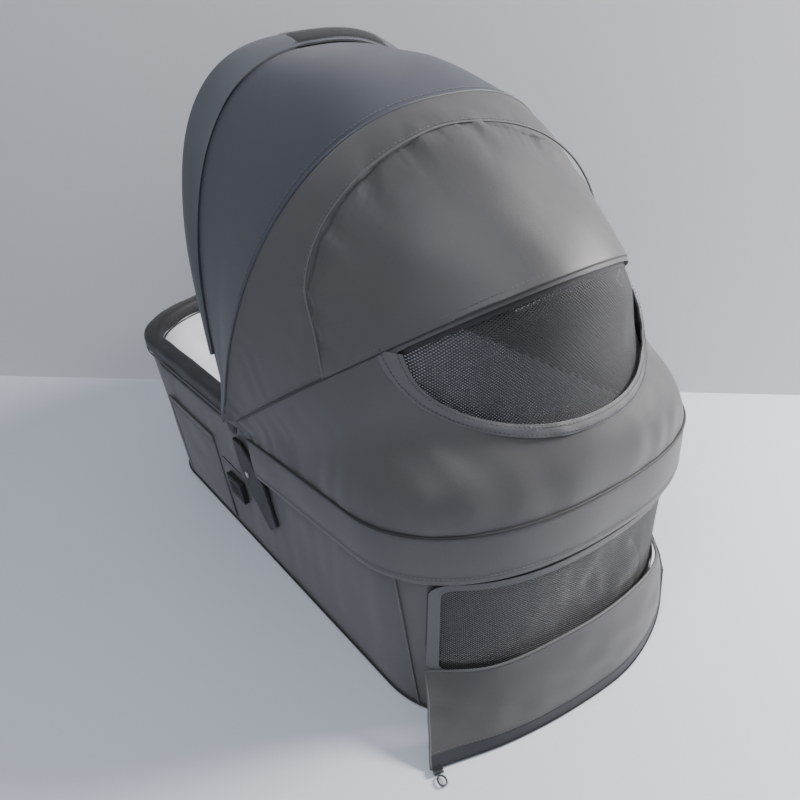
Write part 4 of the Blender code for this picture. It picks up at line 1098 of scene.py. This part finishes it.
def build_flap():
    """The fold-down end flap: cloth, zip tape and teeth, in pieces along the stretches; the centre pieces
    ride the middle stretch.
    """
    rows, columns = 44, 301
    fold, edge = flap_lines()
    share = np.linspace(0, 1, rows)[:, None]
    mix = share[..., None]
    grid = smooth_path(fold, columns) * (1 - mix) + smooth_path(edge, columns) * mix
    outward = np.array([0, -1.0, 0])
    belly = np.sin(pi * share) ** 1.2
    along = np.linspace(0, 5, columns)[None, :]
    sag = 0.0028 * belly * (1 + 0.35 * np.sin(along * 1.9 + 0.6))
    folds = (0.0014 * waves(grid, 0.10, 101, stretch=(1, 1, 0.5)) + 0.0007 * waves(grid, 0.035, 102)) * belly
    corner = 0.006 * np.exp(-((along - 4.55) / 0.25) ** 2) * np.clip(share - 0.35, 0, 1) * belly
    surface = grid + outward * (sag + folds - corner)[..., None]
    tape_row = int(rows * 0.87)
    for number, (name, first, last, bodies, hinge) in enumerate(FLAP_PIECES, 1):
        start, stop = sorted(int(round(end / 5 * (columns - 1))) for end in (first, last))
        part = surface[:tape_row + 1, start:stop + 1]
        piece = face_out(name, part, GREY, "outer_fabric", 0.0016)
        flap_ride(piece, bodies, hinge, fold)
        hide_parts(f"flap_fabric_{number}")
        part = surface[tape_row - 1:, start:stop + 1] + np.array([0, -0.0007, 0.0004])
        tape = face_out(name.replace("cloth", "tape"), part, TAPE, "zip_tape", 0.0014)
        flap_ride(tape, bodies, hinge, fold)
        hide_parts(f"flap_tape_{number}")
        rim = surface[-1, start:stop + 1] + np.array([0, -0.0012, 0.0010])
        teeth = stitches(name.replace("cloth", "teeth"), rim, ZIP_BLACK, None, "zip_metal", 0.0018, 0.0011,
                         0.0010)
        flap_ride(teeth, bodies, hinge, fold)
        row = surface[tape_row - 2, start:stop + 1] + np.array([0, -0.0006, 0])
        sewn = stitches(name.replace("cloth", "stitching"), row, THREAD, None, "outer_fabric", *FINE_STITCH)
        flap_ride(sewn, bodies, hinge, fold)
    for name, column, shift, bodies, hinge in (("flap_side_hem", -1, -0.0006, ("flap_4", "flap_5"), 4),
                                               ("flap_side_hem_right", 0, 0.0006, ("flap_2", "flap_1"), 1)):
        side = surface[:, column] + np.array([shift, 0, 0])
        flap_ride(cord(name, side, 0.0013, BINDING, None), bodies, hinge, fold)
    upper = np.array(smooth_path(fold, 200)) + np.array([0, 0.0022, 0.0006])
    cord("flap_fold_piping", upper, 0.0016, BINDING, "carrycot")


# ---------------------------------------------------------------- the sides
def side_strip(name, side, y0, y1, z0, z1, proud, mat, rows=6, bulge=0.0, seed=0):
    """A patch on the long wall, bulged in its middle."""
    columns = 60
    y = np.linspace(y0, y1, columns)[None, :] * np.ones((rows, 1))
    share = np.linspace(0, 1, rows)[:, None]
    z = z0 + (z1 - z0) * share * np.ones((1, columns))
    grid = side_wall(side, y, z, proud)
    round_off = np.sin(pi * share) ** 0.6 * np.sin(pi * np.linspace(0, 1, columns))[None, :] ** 0.6
    lift = bulge * round_off * (1 + 0.4 * waves(grid, 0.07, seed + 3))
    grid[..., 0] += side * lift
    if (normals(grid, False)[..., 0] * side).mean() < 0:
        grid = grid[:, ::-1]
    return cloth(name, grid, mat, "carrycot", "outer_fabric", thickness=0.0012)


def build_sides():
    for label, side in (("left", -1), ("right", 1)):
        low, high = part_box(f"side_pocket_{label}")
        pocket = side_strip(f"pocket_cloth_{label}", side, low[1], high[1], low[2], high[2], 0.0012, GREY,
                            rows=30, bulge=0.0022, seed=111)
        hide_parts(f"side_pocket_{label}")
        hem = side_strip(f"pocket_hem_{label}", side, low[1], high[1], high[2] - 0.011, high[2] + 0.001,
                         0.0030, BINDING)
        y = np.linspace(low[1], high[1], 60)
        path = side_wall(side, y, high[2] - 0.009, 0.0034)
        stitches(f"pocket_stitching_{label}", path, THREAD, "carrycot", "outer_fabric")
        for end, place in (("head", low[1]), ("foot", high[1])):
            z = np.linspace(low[2], high[2], 40)
            path = side_wall(side, np.full_like(z, place), z, 0.0012)
            cord(f"pocket_edge_{end}_{label}", path, 0.0012, BINDING, "carrycot")
        seam_y = HUB_Y - CORNER_SEAM
        q = np.linspace(0.004, RIM_LOW[2] - 0.004, 60)
        depth = SHELL_DEPTH - 0.0004 + WALL_LEAN * (1 - q / RIM_Z)
        across = corner_x(seam_y, depth)
        path = np.stack([side * across, np.full_like(q, seam_y), q], axis=-1)
        cord(f"corner_seam_{label}", path, 0.0011, BINDING, "carrycot")
        build_zip_slit(label, side)


def corner_x(y, depth):
    """Half width of the head end at y."""
    along = np.maximum(HUB_Y - y - (HEAD_LENGTH - HEAD_CORNER), 0) / (HEAD_CORNER - depth)
    return (TUB_HALF - depth) * np.clip(1 - along ** HEAD_POWER, 0, 1) ** (1 / HEAD_POWER)


def build_zip_slit(label, side):
    """The closed zip under the rim band, and the chassis slot beside the release button."""
    y = np.linspace(HUB_Y + 0.05, HUB_Y + 0.30, 80)
    z = rim_height(y) - BAND_HEIGHT - 0.005
    grid = np.array([side_wall(side, y, z - drop, 0.0011) for drop in (-0.0015, 0.004, 0.0095)])
    if (normals(grid, False)[..., 0] * side).mean() < 0:
        grid = grid[:, ::-1]
    tape = cloth(f"side_zip_{label}", grid, TAPE, "carrycot", "zip_tape", thickness=0.0008)
    path = side_wall(side, y, z - 0.004, 0.0014)
    stitches(f"side_zip_teeth_{label}", path, ZIP_BLACK, "carrycot", "zip_metal", 0.0018, 0.0011, 0.0009)
    low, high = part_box(f"release_frame_{label}")
    y = np.linspace(low[1] + 0.004, high[1] + 0.018, 40)
    path = side_wall(side, y, high[2] + 0.014, -0.0004)
    cord(f"chassis_slot_{label}", path, 0.0019, PLASTIC, "carrycot")
    button_low, button_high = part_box(f"release_button_{label}")
    for i in range(5):
        y_rib = button_low[1] + 0.006 + (button_high[1] - button_low[1] - 0.012) * i / 4
        z = np.linspace(button_low[2] + 0.005, button_high[2] - 0.005, 12)
        share = (z - button_low[2]) / (button_high[2] - button_low[2])
        outer = (button_high[0] if side > 0 else button_low[0]) - side * 0.0019 * (1 - share)
        path = np.stack([outer, np.full_like(z, y_rib), z], axis=-1)
        cord(f"button_rib_{label}_{i + 1}", path, 0.0008, PLASTIC, f"release_button_{label}",
             sides=6)


# ---------------------------------------------------------------- carried-over nodes
def dress_nodes():
    looks = {"black_plastic": PLASTIC, "rubber": RUBBER, "aluminium": ALUMINIUM, "steel": STEEL,
             "zip_metal": ZIP_BLACK, "board": BOARD}
    slots = {part["node"]: part["material_slot"] for part in frame["record"]["subparts"]}
    for name, obj in frame["nodes"].items():
        if slots.get(name) in looks:
            obj.data.materials.clear()
            obj.data.materials.append(looks[slots[name]])


# ---------------------------------------------------------------- camera, floor and light
def build_stage():
    turn = radians(-46.5)
    plain = {"sheen": 0.0, "spread": 0.015, "weave": 0.02, "blotch": 0.8, "cloth": False}
    floor_mat = fabric("studio_floor", (0.66, 0.69, 0.76), roughness=0.5, **plain)
    wall_mat = fabric("studio_wall", (0.62, 0.62, 0.64), roughness=0.9, **plain)
    tree = wall_mat.node_tree
    behind = add_node(tree, "ShaderNodeNewGeometry").outputs["Backfacing"]      # seen through from behind
    front = math_node(tree, "SUBTRACT", 1.0, behind)
    link_input(tree, tree.nodes["Principled BSDF"].inputs["Alpha"], front)
    line = np.array([0.1388, 0.4147])
    way = np.array([cos(turn), sin(turn)])
    back = np.array([-way[1], way[0]])
    for name, corners, mat in (("floor", ((-5, -6), (5, -6), (5, 0.0), (-5, 0.0)), floor_mat),
                               ("wall", ((-5, 0.0), (5, 0.0), (5, 4.0), (-5, 4.0)), wall_mat)):
        verts = []
        for along, out in corners:
            base = line + way * along
            if name == "floor":
                place = base + back * out
                verts.append((place[0], place[1], 0))
            else:
                verts.append((base[0], base[1], out))
        mesh = plain_mesh(name, verts, [(0, 1, 2, 3)])
        mesh.materials.append(mat)
        obj = bpy.data.objects.new(name, mesh)
        bpy.context.scene.collection.objects.link(obj)


def area_light(name, place, target, size, power, colour):
    data = bpy.data.lights.new(name, "AREA")
    data.shape, data.size, data.energy, data.color = "DISK", size, power, colour
    obj = bpy.data.objects.new(name, data)
    obj.location = place
    obj.rotation_euler = (Vector(target) - Vector(place)).to_track_quat("-Z", "Y").to_euler()
    bpy.context.scene.collection.objects.link(obj)


def build_light():
    world = bpy.data.worlds.new("studio")
    world.use_nodes = True
    world.node_tree.nodes["Background"].inputs["Color"].default_value = (0.90, 0.93, 1.0, 1)
    world.node_tree.nodes["Background"].inputs["Strength"].default_value = 0.42
    bpy.context.scene.world = world
    area_light("window_light", (1.45, -1.05, 1.25), (0.15, 0.0, 0.2), 0.7, 125, (1.0, 0.97, 0.93))
    area_light("room_light", (-1.0, -0.9, 2.0), (0.0, 0.0, 0.2), 0.9, 22, (0.90, 0.94, 1.0))


def build_camera():
    """The photograph's view: place, heading, tilt down and roll."""
    place, heading, down, roll = (-0.5080, -0.84665, 0.7392), 0.5789, 0.5115, -0.0875
    ahead = Vector((sin(heading) * cos(down), cos(heading) * cos(down), -sin(down)))
    right = Vector((cos(heading), -sin(heading), 0))
    up = right.cross(ahead)
    level_right, level_up = right.copy(), up.copy()
    right = level_right * cos(roll) + level_up * sin(roll)
    up = -level_right * sin(roll) + level_up * cos(roll)
    data = bpy.data.cameras.new("camera")
    data.lens, data.sensor_width = 36.455, 36.0
    camera = bpy.data.objects.new("camera", data)
    matrix = Matrix((right, up, -ahead)).transposed().to_4x4()
    matrix.translation = Vector(place)
    camera.matrix_world = matrix
    bpy.context.scene.collection.objects.link(camera)
    bpy.context.scene.camera = camera


build_camera()
build_tub()
build_rim()
build_mattress()
build_end_window()
build_hood_band()
build_front_panel()
build_middle_panel()
build_bow_seams()
build_rear_panel()
build_thread()
build_skirt()
build_grip()
build_flap()
build_sides()
dress_nodes()
build_stage()
build_light()
